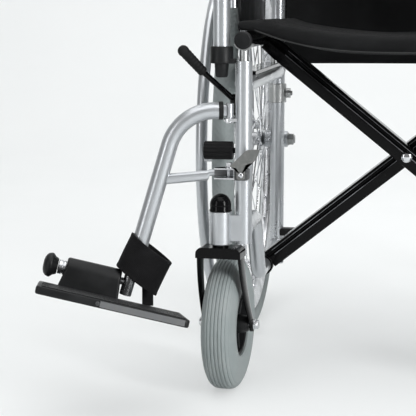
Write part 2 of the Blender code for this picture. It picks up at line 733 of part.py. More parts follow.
def spokes(rim_radius):
    """Four groups of crossed spokes: each flange has leading ones outside and trailing ones inside."""
    groups = []
    for flange in (-1, 1):
        for lead in (-1, 1):
            groups.append(bmesh.new())
            for i in range(SPOKES // 4):
                place = 4 * i + (flange + 1) // 2 + (lead + 1)
                at_rim = 2 * math.pi * place / SPOKES
                at_hub = at_rim + lead * math.radians(SPOKE_CROSS_DEG)
                hub_radius = HUB_FLANGE_DIA / 2 - SPOKE_DIA
                x = flange * (HUB_FLANGE_X + lead * HUB_FLANGE_WIDTH * 0.6)
                start = (x, hub_radius * math.cos(at_hub), hub_radius * math.sin(at_hub))
                end = (0, rim_radius * math.cos(at_rim), rim_radius * math.sin(at_rim))
                add_rod(groups[-1], start, end, SPOKE_DIA / 2, SPOKE_SIDES)
    return groups


def hand_rim():
    """The push rim, on tabs that reach in to the side of the wheel's rim."""
    offset = HAND_RIM_PLANE_X - TYRE_PLANE_X
    tube = HAND_RIM_TUBE_DIA / 2
    section = [(offset + a, HAND_RIM_R + b) for a, b in circle_points(tube, HAND_RIM_SIDES)]
    ring = shape(add_hoop, section, WHEEL_STEPS)
    tabs = bmesh.new()
    low = HAND_RIM_R + tube * 0.45
    reach = RIM_WIDTH / 2 - TAB_SINK
    for i in range(HAND_RIM_TABS):
        tab = shape(add_box, (reach, -TAB_WIDTH / 2, low), (offset, TAB_WIDTH / 2, low + TAB_THICKNESS))
        moved(tab, Matrix.Rotation(2 * math.pi * (i + 0.5) / HAND_RIM_TABS, 4, "X"))
        join(tabs, tab)
    return fused(ring, tabs)


def join(target, bm):
    """Copies one bmesh into another, for shapes that stay apart, and frees it."""
    copied = {}
    for vert in bm.verts:
        copied[vert] = target.verts.new(vert.co)
    for face in bm.faces:
        target.faces.new([copied[vert] for vert in face.verts])
    bm.free()


def rear_axle():
    """The axle: a domed head outboard of the hub and a nut inboard of the frame."""
    frame_face = FRAME_HALF_WIDTH - AXLE_SLEEVE_LENGTH / 2 - TYRE_PLANE_X
    nut_face = frame_face - SEAT_GAP
    head_face = HUB_WIDTH / 2 + WHEEL_SIDE_GAP
    profile = [(nut_face - AXLE_NUT_HEIGHT, AXLE_NUT_DIA * 0.35)]
    profile.append((nut_face - AXLE_NUT_HEIGHT * 0.8, AXLE_NUT_DIA / 2))
    profile += [(nut_face, AXLE_NUT_DIA / 2), (nut_face, AXLE_R), (head_face, AXLE_R)]
    profile += [(head_face, AXLE_HEAD_DIA / 2), (head_face + AXLE_HEAD_HEIGHT, AXLE_HEAD_DIA * 0.3)]
    return shape(add_turned, profile, TUBE_SIDES, along_x)


# Caster, drawn round its swivel axis with the wheel trailing towards +Y

def caster_cap():
    """The domed cap over the caster bearing."""
    radius = CASTER_HOUSING_DIA / 2
    foot = CASTER_HOUSING_TOP_Z + SEAT_GAP
    profile = [(foot, radius), (foot + CASTER_CAP_HEIGHT * 0.35, radius)]
    for i in range(1, CAP_STEPS + 1):
        angle = math.pi / 2 * i / (CAP_STEPS + 1)
        height = CASTER_CAP_HEIGHT * (0.35 + 0.65 * math.sin(angle))
        profile.append((foot + height, radius * math.cos(angle)))
    return moved(shape(add_turned, profile, TUBE_SIDES, along_z), Matrix.Translation((CASTER_X, CASTER_Y, 0)))


def fork_face_x(z):
    """Distance from the fork's middle to the outer face of a leg, which spreads towards the axle."""
    crown_foot = FORK_CROWN_TOP_Z - FORK_CROWN_THICKNESS
    share = min(max((crown_foot - z) / (crown_foot - CASTER_R), 0), 1)
    return (FORK_CROWN_WIDTH + share * (FORK_AXLE_WIDTH - FORK_CROWN_WIDTH)) / 2


def caster_fork():
    """Stem, crown and two raked legs with round axle ends."""
    stem = shape(
        add_rod, (0, 0, FORK_CROWN_TOP_Z - FORK_CROWN_THICKNESS / 2),
        (0, 0, CASTER_HOUSING_TOP_Z - HOUSING_ROOF - RUNNING_GAP), FORK_STEM_DIA / 2,
    )
    washer_top = CASTER_HOUSING_FOOT_Z - RUNNING_GAP
    washer = shape(
        add_rod, (0, 0, FORK_CROWN_TOP_Z - FORK_CROWN_THICKNESS / 2), (0, 0, washer_top), FORK_WASHER_DIA / 2
    )
    crown_foot = FORK_CROWN_TOP_Z - FORK_CROWN_THICKNESS
    half = FORK_CROWN_WIDTH / 2
    chamfer = FORK_CROWN_THICKNESS * 0.6
    outline = [(-half, crown_foot), (half, crown_foot), (half, FORK_CROWN_TOP_Z - chamfer)]
    outline += [(half - chamfer, FORK_CROWN_TOP_Z), (chamfer - half, FORK_CROWN_TOP_Z)]
    outline += [(-half, FORK_CROWN_TOP_Z - chamfer)]
    crown = shape(add_plate, outline, -FORK_CROWN_DEPTH / 2, FORK_CROWN_DEPTH / 2, along_y)
    legs = [fork_leg(-1), fork_leg(1)]
    bore = clear_bore(CASTER_AXLE_DIA / 2, SEAT_GAP, SMALL_SIDES)
    hole_start = (-FORK_AXLE_WIDTH, CASTER_TRAIL, CASTER_R)
    hole = shape(add_rod, hole_start, (FORK_AXLE_WIDTH, CASTER_TRAIL, CASTER_R), bore, SMALL_SIDES)
    return cut(fused(crown, stem, washer, *legs), hole)


def fork_leg(side):
    """One leg: wide under the crown, round at the axle."""
    crown_z = FORK_CROWN_TOP_Z - FORK_CROWN_THICKNESS * 0.7
    half = FORK_CROWN_DEPTH / 2
    end = FORK_LEG_DEPTH / 2
    outline = [(half, crown_z), (-half, crown_z), (-half * 0.95, crown_z - FORK_SHOULDER)]
    for i in range(LEG_END_STEPS + 1):
        angle = math.pi * (1.07 + i / LEG_END_STEPS)
        outline.append((CASTER_TRAIL + end * math.cos(angle), CASTER_R + end * math.sin(angle)))
    outline.append((half * 1.25, crown_z - FORK_SHOULDER))

    def place(height, a, b):
        return side * (fork_face_x(b) - height), a, b

    return shape(add_plate, outline, 0, FORK_LEG_THICKNESS, place)


def caster_core():
    """The caster's moulded centre: bearing tube, web, rim and radial ribs on both sides."""
    hub_half = FORK_AXLE_WIDTH / 2 - FORK_LEG_THICKNESS - WHEEL_SIDE_GAP
    rim_half = CASTER_CORE_WIDTH / 2
    bore = CASTER_AXLE_DIA / 2 + RUNNING_GAP
    outer = CASTER_CORE_DIA / 2 - SEAT_GAP
    inner = outer - CORE_RIM_WALL
    section = [(-hub_half, bore), (-hub_half, CASTER_HUB_DIA / 2), (-CORE_WEB / 2, CASTER_HUB_DIA / 2)]
    section += [(-CORE_WEB / 2, inner), (-rim_half, inner), (-rim_half, outer)]
    section += [(-x, radius) for x, radius in section[::-1]]
    body = shape(add_hoop, section, CASTER_STEPS)
    ribs = bmesh.new()
    low = CASTER_HUB_DIA / 2 - CORE_WEB / 4
    for i in range(CASTER_RIBS):
        corner = (-rim_half * 0.8, -CORE_RIB / 2, low)
        rib = shape(add_box, corner, (rim_half * 0.8, CORE_RIB / 2, inner + CORE_RIM_WALL / 2))
        join(ribs, moved(rib, Matrix.Rotation(2 * math.pi * i / CASTER_RIBS, 4, "X")))
    return fused(body, ribs)


def caster_tyre():
    """A solid grey tyre with two grooves round its tread."""
    half = CASTER_WIDTH / 2
    foot = CASTER_CORE_DIA / 2
    height = CASTER_R - foot
    section = [(-half * 0.84, foot), (-half, foot + height * 0.36), (-half * 0.78, foot + height * 0.84)]
    section += [(-half * 0.34, CASTER_R), (-half * 0.24, CASTER_R - TREAD_GROOVE), (-half * 0.14, CASTER_R)]
    section += [(-x, radius) for x, radius in section[::-1]]
    return shape(add_hoop, section, CASTER_STEPS)


def caster_axle():
    """Axle bolt with a domed nut at each end."""
    face = FORK_AXLE_WIDTH / 2 + SEAT_GAP
    nut = CASTER_NUT_DIA / 2
    profile = [(face + CASTER_NUT_HEIGHT, nut * 0.35), (face + CASTER_NUT_HEIGHT * 0.7, nut * 0.85)]
    profile += [(face + CASTER_NUT_HEIGHT * 0.4, nut), (face, nut), (face, CASTER_AXLE_DIA / 2)]
    profile = [(-along, radius) for along, radius in profile] + profile[::-1]
    return shape(add_turned, profile, SMALL_SIDES, along_x)


# Armrest

def armrest_frame():
    """Front leg, top tube and short rear leg in one bent tube, with the stay that holds the panel."""
    corners = [(ARM_X, 0, ARM_FRONT_FOOT_Z), (ARM_X, 0, ARM_TOP_Z), (ARM_X, ARM_BACK_Y, ARM_TOP_Z)]
    corners.append((ARM_X, ARM_BACK_Y, ARM_REAR_FOOT_Z))
    tube = shape(add_tube, rounded_path(corners, ARM_BEND_RADIUS), ARM_TUBE_DIA / 2)
    stay_x = PANEL_OUTER_X + SEAT_GAP + ARM_STAY_DIA / 2
    foot = (stay_x, ARM_STAY_Y, ARM_STAY_FOOT_Z)
    stay = shape(add_rod, foot, (stay_x, ARM_STAY_Y, ARM_TOP_Z), ARM_STAY_DIA / 2, SMALL_SIDES)
    return fused(tube, stay)


def arm_pad():
    """A soft-edged pad on top of the armrest."""
    foot = ARM_TOP_Z + ARM_TUBE_DIA / 2 + SEAT_GAP
    middle = (ARM_BACK_Y + ARM_BEND_RADIUS) / 2
    half_w = PAD_WIDTH / 2
    half_l = PAD_LENGTH / 2
    rings = []
    for share, inset in ((0, PAD_FOOT_INSET), (0.2, 0), (0.75, 0), (1.0, PAD_TOP_INSET)):
        low = (ARM_X - half_w + inset, middle - half_l + inset)
        high = (ARM_X + half_w - inset, middle + half_l - inset)
        outline = rounded_outline(low, high, half_w * 0.7 - inset, 3)
        rings.append([(a, b, foot + share * PAD_HEIGHT) for a, b in outline])
    return shape(add_loft, rings)


def side_panel():
    """The clothing guard inside the armrest, with two pressed grooves on its inner face."""
    outline = rounded_outline((PANEL_FRONT_Y, PANEL_FOOT_Z), (PANEL_BACK_Y, PANEL_TOP_Z), PANEL_CORNER, 3)
    panel = shape(add_plate, outline, PANEL_OUTER_X - PANEL_THICKNESS, PANEL_OUTER_X, along_x)
    grooves = bmesh.new()
    inner = PANEL_OUTER_X - PANEL_THICKNESS
    for share in (0.33, 0.67):
        z = PANEL_FOOT_Z + share * (PANEL_TOP_Z - PANEL_FOOT_Z)
        low = (inner - GROOVE_DEPTH, PANEL_FRONT_Y + PANEL_CORNER, z - GROOVE_HEIGHT / 2)
        high = (inner + GROOVE_DEPTH, PANEL_BACK_Y - PANEL_CORNER, z + GROOVE_HEIGHT / 2)
        join(grooves, shape(add_box, low, high))
    return cut(panel, grooves)


def arm_socket():
    """The black socket and tapered stub that take the armrest's front leg, with a lobe to the post."""
    profile = [(ARM_SOCKET_STUB_Z, ARM_SOCKET_STUB_DIA * 0.4), (ARM_SOCKET_FOOT_Z, ARM_SOCKET_STUB_DIA / 2)]
    profile += [(ARM_SOCKET_FOOT_Z, ARM_SOCKET_DIA / 2), (ARM_SOCKET_TOP_Z, ARM_SOCKET_DIA / 2)]
    cup = moved(shape(add_turned, profile, TUBE_SIDES, along_z), Matrix.Translation((ARM_X, 0, 0)))
    half = TUBE_R * 0.9
    low = (FRAME_OUTER_X + SEAT_GAP, -half, ARM_SOCKET_FOOT_Z)
    lobe = shape(add_box, low, (ARM_X, half, ARM_SOCKET_FOOT_Z + LOBE_HEIGHT))
    bore = clear_bore(ARM_TUBE_DIA / 2, SEAT_GAP, TUBE_SIDES)
    hole_foot = (ARM_X, 0, ARM_FRONT_FOOT_Z - SEAT_GAP)
    hole = shape(add_rod, hole_foot, (ARM_X, 0, ARM_SOCKET_TOP_Z + LOBE_HEIGHT), bore)
    return cut(fused(cup, lobe), hole)


# Brake

def brake_bracket():
    """A plate on the outer side of the upper rail, with a flat bar along the rail's top and two pins."""
    face = FRAME_OUTER_X + SEAT_GAP
    outer = face + BRAKE_PLATE_THICKNESS
    bar_foot = UPPER_RAIL_Z + TUBE_R + SEAT_GAP
    front = BRAKE_PIVOT_Y - BRACKET_FRONT
    rear = SHOE_PIVOT_Y + BRACKET_REAR
    outline = [(front, BRAKE_PIVOT_Z - BRACKET_BELOW), (SHOE_PIVOT_Y + BRACKET_HEEL, SHOE_PIVOT_Z - BRACKET_BELOW)]
    outline += [(rear, UPPER_RAIL_Z - TUBE_R), (rear, bar_foot + BAR_THICKNESS)]
    outline.append((front, bar_foot + BAR_THICKNESS))
    plate = shape(add_plate, outline, face, outer, along_x)
    low = (FRAME_HALF_WIDTH - TUBE_R, front, bar_foot)
    bar = shape(add_box, low, (outer, REAR_SADDLE_Y - SADDLE_LENGTH, bar_foot + BAR_THICKNESS))
    end = outer + BRAKE_BAR_THICKNESS + RUNNING_GAP
    pins = []
    for y, z in ((BRAKE_PIVOT_Y, BRAKE_PIVOT_Z), (SHOE_PIVOT_Y, SHOE_PIVOT_Z)):
        start = (face + BRAKE_PLATE_THICKNESS / 2, y, z)
        pins.append(shape(add_rod, start, (end, y, z), BRAKE_PIN_DIA / 2, SMALL_SIDES))
    return fused(plate, bar, *pins)


def flat_bar(outline, low, high, hole):
    """A flat bar in the YZ plane with one pivot hole."""
    bar = shape(add_plate, outline, low, high, along_x)
    bore = clear_bore(BRAKE_PIN_DIA / 2, SEAT_GAP, SMALL_SIDES)
    start = (low - BRAKE_BAR_THICKNESS, *hole)
    return cut(bar, shape(add_rod, start, (high + BRAKE_BAR_THICKNESS, *hole), bore, SMALL_SIDES))


def lever_route():
    """Corners of the lever's bar, from its pivot up, forwards and outboard to the grip's far end."""
    pivot = Vector((BRAKE_BAR_X + BRAKE_BAR_THICKNESS / 2, BRAKE_PIVOT_Y, BRAKE_PIVOT_Z))
    wrist = pivot + Vector(LEVER_WRIST)
    tip = wrist + Vector(LEVER_GRIP_AIM).normalized() * BRAKE_GRIP_LENGTH
    return pivot, pivot + Vector(LEVER_KNEE), wrist, tip


def brake_lever():
    """The hand lever: a pivot eye, then a round bar that is cranked outboard."""
    pivot, knee, wrist, tip = lever_route()
    half = BRAKE_BAR_WIDTH / 2
    outline = [(pivot.y + half, pivot.z - half), (pivot.y + half, pivot.z + half)]
    outline += [(knee.y + half, knee.z + half * 0.3), (knee.y, knee.z + half)]
    outline.append((knee.y - half, knee.z - half * 0.3))
    outline += [(pivot.y - half, pivot.z), (pivot.y - half, pivot.z - half)]
    eye = flat_bar(outline, BRAKE_BAR_X, BRAKE_BAR_X + BRAKE_BAR_THICKNESS, (pivot.y, pivot.z))
    stem_end = wrist + (tip - wrist) * 0.8
    stem = shape(add_tube, [knee, wrist, stem_end], BRAKE_STEM_DIA / 2, SMALL_SIDES)
    return fused(eye, stem)


def brake_grip():
    """The rubber sleeve on the lever, with a round end."""
    _, _, wrist, tip = lever_route()
    length = BRAKE_GRIP_LENGTH
    radius = BRAKE_GRIP_DIA / 2
    bore = clear_bore(BRAKE_STEM_DIA / 2, SEAT_GAP, SMALL_SIDES)
    profile = [(0, radius * 0.85), (length * 0.08, radius), (length * 0.8, radius)]
    profile += [(length * 0.93, radius * 0.8), (length, radius * 0.35)]
    body = shape(add_turned, profile, TUBE_SIDES, along_z)
    hole = shape(add_rod, (0, 0, length * 0.03), (0, 0, length * 0.8 + SEAT_GAP), bore, SMALL_SIDES)
    mouth = shape(add_rod, (0, 0, -length * 0.1), (0, 0, length * 0.05), bore, SMALL_SIDES)
    grip = cut(body, fused(hole, mouth))
    aim = (tip - wrist).normalized().to_track_quat("Z", "Y").to_matrix().to_4x4()
    return moved(grip, Matrix.Translation(wrist) @ aim)


def brake_arm():
    """The short arm from its pivot to the shoe, with the shoe's pin."""
    half = BRAKE_BAR_WIDTH / 2
    outline = [(SHOE_PIVOT_Y - half, SHOE_PIVOT_Z - half * 0.5), (SHOE_Y - half, SHOE_Z - half)]
    outline += [(SHOE_Y + half, SHOE_Z - half), (SHOE_Y + half, SHOE_Z + half)]
    outline += [(SHOE_PIVOT_Y + half, SHOE_PIVOT_Z + half), (SHOE_PIVOT_Y - half, SHOE_PIVOT_Z + half)]
    arm = flat_bar(outline, BRAKE_BAR_X, BRAKE_BAR_X + BRAKE_BAR_THICKNESS, (SHOE_PIVOT_Y, SHOE_PIVOT_Z))
    end = SHOE_INNER_X + SHOE_LENGTH * 0.8
    start = (BRAKE_BAR_X + BRAKE_BAR_THICKNESS / 2, SHOE_Y, SHOE_Z)
    return fused(arm, shape(add_rod, start, (end, SHOE_Y, SHOE_Z), BRAKE_PIN_DIA / 2, SMALL_SIDES))


def brake_shoe():
    """A ribbed rubber roller across the front of the tyre."""
    outline = []
    radius = SHOE_DIA / 2
    for i in range(SHOE_RIBS):
        for share, size in ((0.0, 1.0), (0.55, 1.0), (0.78, 0.88)):
            angle = 2 * math.pi * (i + share) / SHOE_RIBS
            outline.append((radius * size * math.cos(angle), radius * size * math.sin(angle)))
    body = shape(add_plate, outline, 0, SHOE_LENGTH, along_x)
    bore = clear_bore(BRAKE_PIN_DIA / 2, SEAT_GAP, SMALL_SIDES)
    hole = shape(add_rod, (-SHOE_LENGTH, 0, 0), (SHOE_LENGTH * 0.8 + SEAT_GAP, 0, 0), bore, SMALL_SIDES)
    return moved(cut(body, hole), Matrix.Translation((SHOE_INNER_X, SHOE_Y, SHOE_Z)))


# Legrest, drawn round its pivot as it points forwards, at its true heights

def hanger_reach(z):
    """How far in front of its pivot the hanger's sloping tube is at a height."""
    return HANGER_BEND_REACH + (HANGER_TOP_Z - z) * HANGER_SLOPE


def hanger_point(z):
    """A point on the middle of the hanger's sloping tube."""
    return Vector((0, -hanger_reach(z), z))


def legrest_hanger():
    """Bent tube with a hinge eye at its end, and a strut with a second eye, bored for the footplate's tube."""
    corners = [(0, -HANGER_TUBE_START, HANGER_TOP_Z), (0, -HANGER_BEND_REACH, HANGER_TOP_Z)]
    corners.append(hanger_point(HANGER_FOOT_Z))
    path = rounded_path(corners, HANGER_BEND_RADIUS, 2 * BEND_STEPS)
    tube = shape(add_tube, path, TUBE_R)
    neck_half = HINGE_EYE_DIA * 0.4
    neck_rise = TUBE_R * 0.7
    neck_low = (-neck_half, -HANGER_TUBE_START - TUBE_R / 2, HANGER_TOP_Z - neck_rise)
    neck = shape(add_box, neck_low, (neck_half, 0, HANGER_TOP_Z + neck_rise))
    strut_half = HANGER_STRUT_HEIGHT / 2
    strut_low = (-STRUT_WIDTH / 2, -hanger_reach(HANGER_STRUT_Z), HANGER_STRUT_Z - strut_half)
    strut = shape(add_box, strut_low, (STRUT_WIDTH / 2, 0, HANGER_STRUT_Z + strut_half))
    eyes = []
    holes = []
    pin_bore = clear_bore(HINGE_PIN_R, RUNNING_GAP, SMALL_SIDES)
    eye_half = HINGE_EYE_HEIGHT / 2
    for z, half, roof in ((HANGER_TOP_Z, eye_half, HINGE_EYE_ROOF), (HANGER_STRUT_Z, strut_half, -eye_half)):
        eyes.append(shape(add_rod, (0, 0, z - half), (0, 0, z + half), HINGE_EYE_DIA / 2))
        holes.append(shape(add_rod, (0, 0, z - 2 * half), (0, 0, z + half - roof), pin_bore, SMALL_SIDES))
    bore = clear_bore(EXTENSION_DIA / 2, SEAT_GAP, TUBE_SIDES)
    hole_top = hanger_point(HANGER_FOOT_Z + EXTENSION_INSERT + SEAT_GAP)
    holes.append(shape(add_rod, hanger_point(HANGER_FOOT_Z - TUBE_R), hole_top, bore))
    return cut(fused(tube, neck, strut, *eyes), *holes)


def legrest_latch():
    """The release lever: a leaf on a narrow neck with the pivot hole, in front of the post."""
    outline = [(LATCH_X + a, LATCH_Z + b) for a, b in LATCH_OUTLINE]
    back = LATCH_FACE_Y - SEAT_GAP
    paddle = shape(add_plate, outline, back - LATCH_PLATE, back, along_y)
    bore = clear_bore(LATCH_PIN_DIA / 2, SEAT_GAP, SMALL_SIDES)
    start = (LATCH_X, back - 2 * LATCH_PLATE, LATCH_Z)
    return cut(paddle, shape(add_rod, start, (LATCH_X, 0, LATCH_Z), bore, SMALL_SIDES))


def tilted_hinge():
    """The place and toe-up tilt of the footplate's hinge line on the hanger."""
    tilt = Matrix.Rotation(math.radians(-PLATE_TOE_UP_DEG), 4, "X")
    return Matrix.Translation(hanger_point(PLATE_HINGE_Z)) @ tilt


def footplate_tube():
    """The chromed tube that slides in the hanger, and the spindle that the footplate turns on."""
    top = hanger_point(HANGER_FOOT_Z + EXTENSION_INSERT)
    tube = shape(add_rod, top, hanger_point(EXTENSION_FOOT_Z), EXTENSION_DIA / 2)
    barrel_end = BARREL_START + BARREL_LENGTH + SEAT_GAP
    spindle = shape(add_rod, (0, 0, 0), (0, -KNOB_BACK_Y, 0), SPIGOT_DIA / 2, SMALL_SIDES)
    collar_end = (0, -barrel_end - SPIGOT_COLLAR_LENGTH, 0)
    collar = shape(add_rod, (0, -barrel_end, 0), collar_end, SPIGOT_COLLAR_DIA / 2)
    return fused(tube, moved(fused(spindle, collar), tilted_hinge()))


def footplate_knob():
    """The mushroom cap on the spindle's end."""
    profile = [(0, KNOB_DIA * 0.34), (KNOB_LENGTH * 0.25, KNOB_DIA * 0.40), (KNOB_LENGTH * 0.45, KNOB_DIA / 2)]
    profile += [(KNOB_LENGTH * 0.75, KNOB_DIA * 0.46), (KNOB_LENGTH * 0.93, KNOB_DIA * 0.34)]
    profile.append((KNOB_LENGTH, KNOB_DIA * 0.14))
    knob = shape(add_turned, [(-along, radius) for along, radius in profile], TUBE_SIDES, along_y)
    return moved(knob, tilted_hinge() @ Matrix.Translation((0, -KNOB_BACK_Y - SEAT_GAP, 0)))


def footplate():
    """The tread plate, ridged on top, with its hinge barrel along the outer edge."""
    top = -PLATE_BELOW_HINGE
    low = (PLATE_OUTER_MARGIN - PLATE_WIDTH, -PLATE_TOE)
    outline = rounded_outline(low, (PLATE_OUTER_MARGIN, PLATE_HEEL), PLATE_CORNER, 3)
    plate = shape(add_plate, outline, top - PLATE_THICKNESS, top, along_z)
    half = BARREL_DIA / 2
    block = [(half, top - PLATE_THICKNESS / 2)]
    for i in range(BARREL_STEPS + 1):
        angle = math.pi * i / BARREL_STEPS
        block.append((half * math.cos(angle), half * math.sin(angle)))
    block.append((-half, top - PLATE_THICKNESS / 2))
    barrel = shape(add_plate, block, -BARREL_START - BARREL_LENGTH, -BARREL_START, along_y)
    ridges = bmesh.new()
    first = PLATE_OUTER_MARGIN - BARREL_DIA - PLATE_CORNER / 2
    pitch = (first - low[0] - PLATE_CORNER / 2) / PLATE_RIBS
    for i in range(PLATE_RIBS):
        x = first - (i + 1) * pitch
        corner = (x, PLATE_CORNER - PLATE_TOE, top - PLATE_RIDGE)
        high = (x + pitch * 0.4, PLATE_HEEL - PLATE_CORNER, top + PLATE_RIDGE)
        join(ridges, shape(add_box, corner, high))
    bore = clear_bore(SPIGOT_DIA / 2, SEAT_GAP, SMALL_SIDES)
    hole = shape(add_rod, (0, 0, 0), (0, -2 * BARREL_LENGTH, 0), bore, SMALL_SIDES)
    return cut(fused(plate, barrel, ridges), hole)


def heel_loop():
    """A broad fabric band round the foot of the hanger tube, drooping a little towards the heel."""
    tilt = math.radians(LOOP_TILT_DEG)
    lean = tilt - math.atan(HANGER_SLOPE)
    inner = LOOP_REACH / 2 - LOOP_THICKNESS
    setback = inner - TUBE_R / math.cos(lean) - LOOP_HEIGHT / 2 * math.tan(lean) - SEAT_GAP
    rings = []
    steps = LOOP_STEPS
    band = [(LOOP_DEPTH / 2, LOOP_REACH / 2), (LOOP_DEPTH / 2 - LOOP_THICKNESS, inner)]
    half = LOOP_HEIGHT / 2
    for i in range(steps):
        angle = 2 * math.pi * i / steps
        outer_x, outer_y = band[0][0] * math.cos(angle), band[0][1] * math.sin(angle)
        inner_x, inner_y = band[1][0] * math.cos(angle), band[1][1] * math.sin(angle)
        ring = [(outer_x, outer_y, -half), (outer_x, outer_y, half)]
        rings.append(ring + [(inner_x, inner_y, half), (inner_x, inner_y, -half)])
    loop = shape(add_loft, rings, closed=True)
    centre = hanger_point(LOOP_MID_Z) + Vector((0, setback * math.cos(tilt), -setback * math.sin(tilt)))
    return moved(loop, Matrix.Translation(centre) @ Matrix.Rotation(-tilt, 4, "X"))


# X-brace and fabric, drawn in the chair's own coordinates

def brace(foot_side, bar_y):
    """One member: a sleeve round a lower rail, a grooved bar with a narrower neck, and the opposite seat rail."""
    foot = Vector((foot_side * FRAME_HALF_WIDTH, 0, LOWER_RAIL_Z))
    head = Vector((-foot_side * FRAME_HALF_WIDTH, 0, SEAT_RAIL_Z))
    along = (head - foot).normalized()
    upwards = Vector((foot_side * along.z, 0, abs(along.x)))
    half_w = BRACE_BAR_WIDTH / 2
    half_d = BRACE_BAR_DEPTH / 2
    groove = BRACE_GROOVE_WIDTH / 2
    face = [(-half_w, half_d - BRACE_EDGE), (BRACE_EDGE - half_w, half_d)]
    face += [(BRACE_GROOVE_RISE - groove, half_d), (BRACE_GROOVE_RISE, half_d - BRACE_GROOVE_DEPTH)]
    face += [(BRACE_GROOVE_RISE + groove, half_d), (half_w - BRACE_EDGE, half_d), (half_w, half_d - BRACE_EDGE)]
    section = face + [(w, -d) for w, d in face[::-1]]
    rings = []
    for end, narrowing in ((foot, 1), (head - along * BRACE_NECK_LENGTH, 1), (head, TUBE_R / half_w)):
        rings.append([end + upwards * w * narrowing + Vector((0, bar_y + d, 0)) for w, d in section])
    bar = shape(add_loft, rings)
    half = BRACE_SLEEVE_LENGTH / 2
    sleeve = shape(
        add_rod, (foot.x, bar_y - half, foot.z), (foot.x, bar_y + half, foot.z), BRACE_SLEEVE_R
    )
    rail = shape(add_rod, (head.x, SEAT_RAIL_FRONT_Y, head.z), (head.x, SEAT_RAIL_BACK_Y, head.z), TUBE_R)
    bore = clear_bore(TUBE_R, RUNNING_GAP, TUBE_SIDES)
    hole = shape(add_rod, (foot.x, bar_y - 2 * half, foot.z), (foot.x, bar_y + 2 * half, foot.z), bore)
    bolt_bore = clear_bore(BRACE_BOLT_DIA / 2, SEAT_GAP, TUBE_SIDES)
    bolt_hole = shape(add_rod, (0, 0, BRACE_PIVOT_Z), (0, POST_SPACING, BRACE_PIVOT_Z), bolt_bore)
    return cut(fused(rail, bar, sleeve), hole, bolt_hole)


def brace_bolt():
    """The pivot bolt through both bars, with a domed head in front and a nut behind."""
    half = BRACE_BAR_DEPTH + 2 * SEAT_GAP
    head = BRACE_BOLT_HEAD_DIA / 2
    profile = [(-half - BRACE_BOLT_HEAD_HEIGHT, head * 0.4)]
    profile.append((-half - BRACE_BOLT_HEAD_HEIGHT * 0.5, head * 0.9))
    profile += [(-half, head), (-half, BRACE_BOLT_DIA / 2), (half, BRACE_BOLT_DIA / 2)]
    profile += [(half, head * 0.8), (half + BRACE_BOLT_HEAD_HEIGHT, head * 0.8)]
    bolt = shape(add_turned, profile, TUBE_SIDES, along_y)
    return moved(bolt, Matrix.Translation((0, BRACE_MID_Y, BRACE_PIVOT_Z)))


def rail_plug(side):
    """The round black plug on the front end of a seat rail."""
    face = SEAT_RAIL_FRONT_Y - SEAT_GAP
    radius = PLUG_DIA / 2
    profile = [(face - PLUG_HEIGHT, radius * 0.8), (face - PLUG_HEIGHT * 0.5, radius), (face, radius)]
    plug = shape(add_turned, profile, TUBE_SIDES, along_y)
    return moved(plug, Matrix.Translation((side * FRAME_HALF_WIDTH, 0, SEAT_RAIL_Z)))


def seat_sling():
    """The padded seat between the rails: flat over each rail and sagging in the middle."""
    inner = FRAME_HALF_WIDTH - TUBE_R
    outer = FRAME_HALF_WIDTH + TUBE_R
    foot = SEAT_RAIL_Z + TUBE_R + SEAT_GAP
    stations = [-outer, -inner] + [inner * i / SLING_STEPS for i in range(1 - SLING_STEPS, SLING_STEPS)]
    stations += [inner, outer]
    bottom = []
    top = []
    for x in stations:
        hollow = max(0, 1 - (x / inner) ** 2)
        bottom.append((x, foot - SEAT_BOTTOM_SAG * hollow))
        top.append((x, foot + SEAT_THICKNESS - SEAT_TOP_SAG * hollow))
    return shape(add_plate, bottom + top[::-1], SEAT_FRONT_Y, SEAT_BACK_Y, along_y)


def cane_y(z):
    """How far back the cane's middle is at a height."""
    return POST_SPACING + max(0, z - CANE_BEND_Z) * math.tan(CANE_LEAN)


def back_sling():
    """The back fabric between the canes, bellied backwards."""
    inner = FRAME_HALF_WIDTH - TUBE_R - SEAT_GAP
    rings = []
    for z in (BACK_BOTTOM_Z, CANE_BEND_Z, (CANE_BEND_Z + BACK_TOP_Z) / 2, BACK_TOP_Z):
        front = []
        back = []
        for i in range(-SLING_STEPS, SLING_STEPS + 1):
            x = inner * i / SLING_STEPS
            belly = BACK_SAG * (1 - (i / SLING_STEPS) ** 2)
            front.append((x, cane_y(z) + belly - BACK_THICKNESS / 2, z))
            back.append((x, cane_y(z) + belly + BACK_THICKNESS / 2, z))
        rings.append(front + back[::-1])
    return shape(add_loft, rings)


# Assembly

def new_empty(name, parent, matrix):
    """An empty that carries pieces, placed by a matrix in its parent's coordinates."""
    empty = bpy.data.objects.new(name, None)
    bpy.context.scene.collection.objects.link(empty)
    empty.parent = parent
    empty.matrix_local = matrix
    return empty


def place_piece(name, mesh, parent, offset=None):
    """One named node. An offset takes back its parent's place where the mesh is drawn round the chair."""
    piece = bpy.data.objects.new(name, mesh)
    bpy.context.scene.collection.objects.link(piece)
    piece.parent = parent
    if offset is not None:
        piece.location = -offset
    return piece


def finished_mesh(bm, name, surface):
    """A mesh with its material, shaded smooth except across sharp edges."""
    mesh = mesh_of(bm, name)
    mesh.materials.append(surface)
    mesh.shade_smooth()
    mesh.set_sharp_from_angle(angle=math.radians(35))
    return mesh


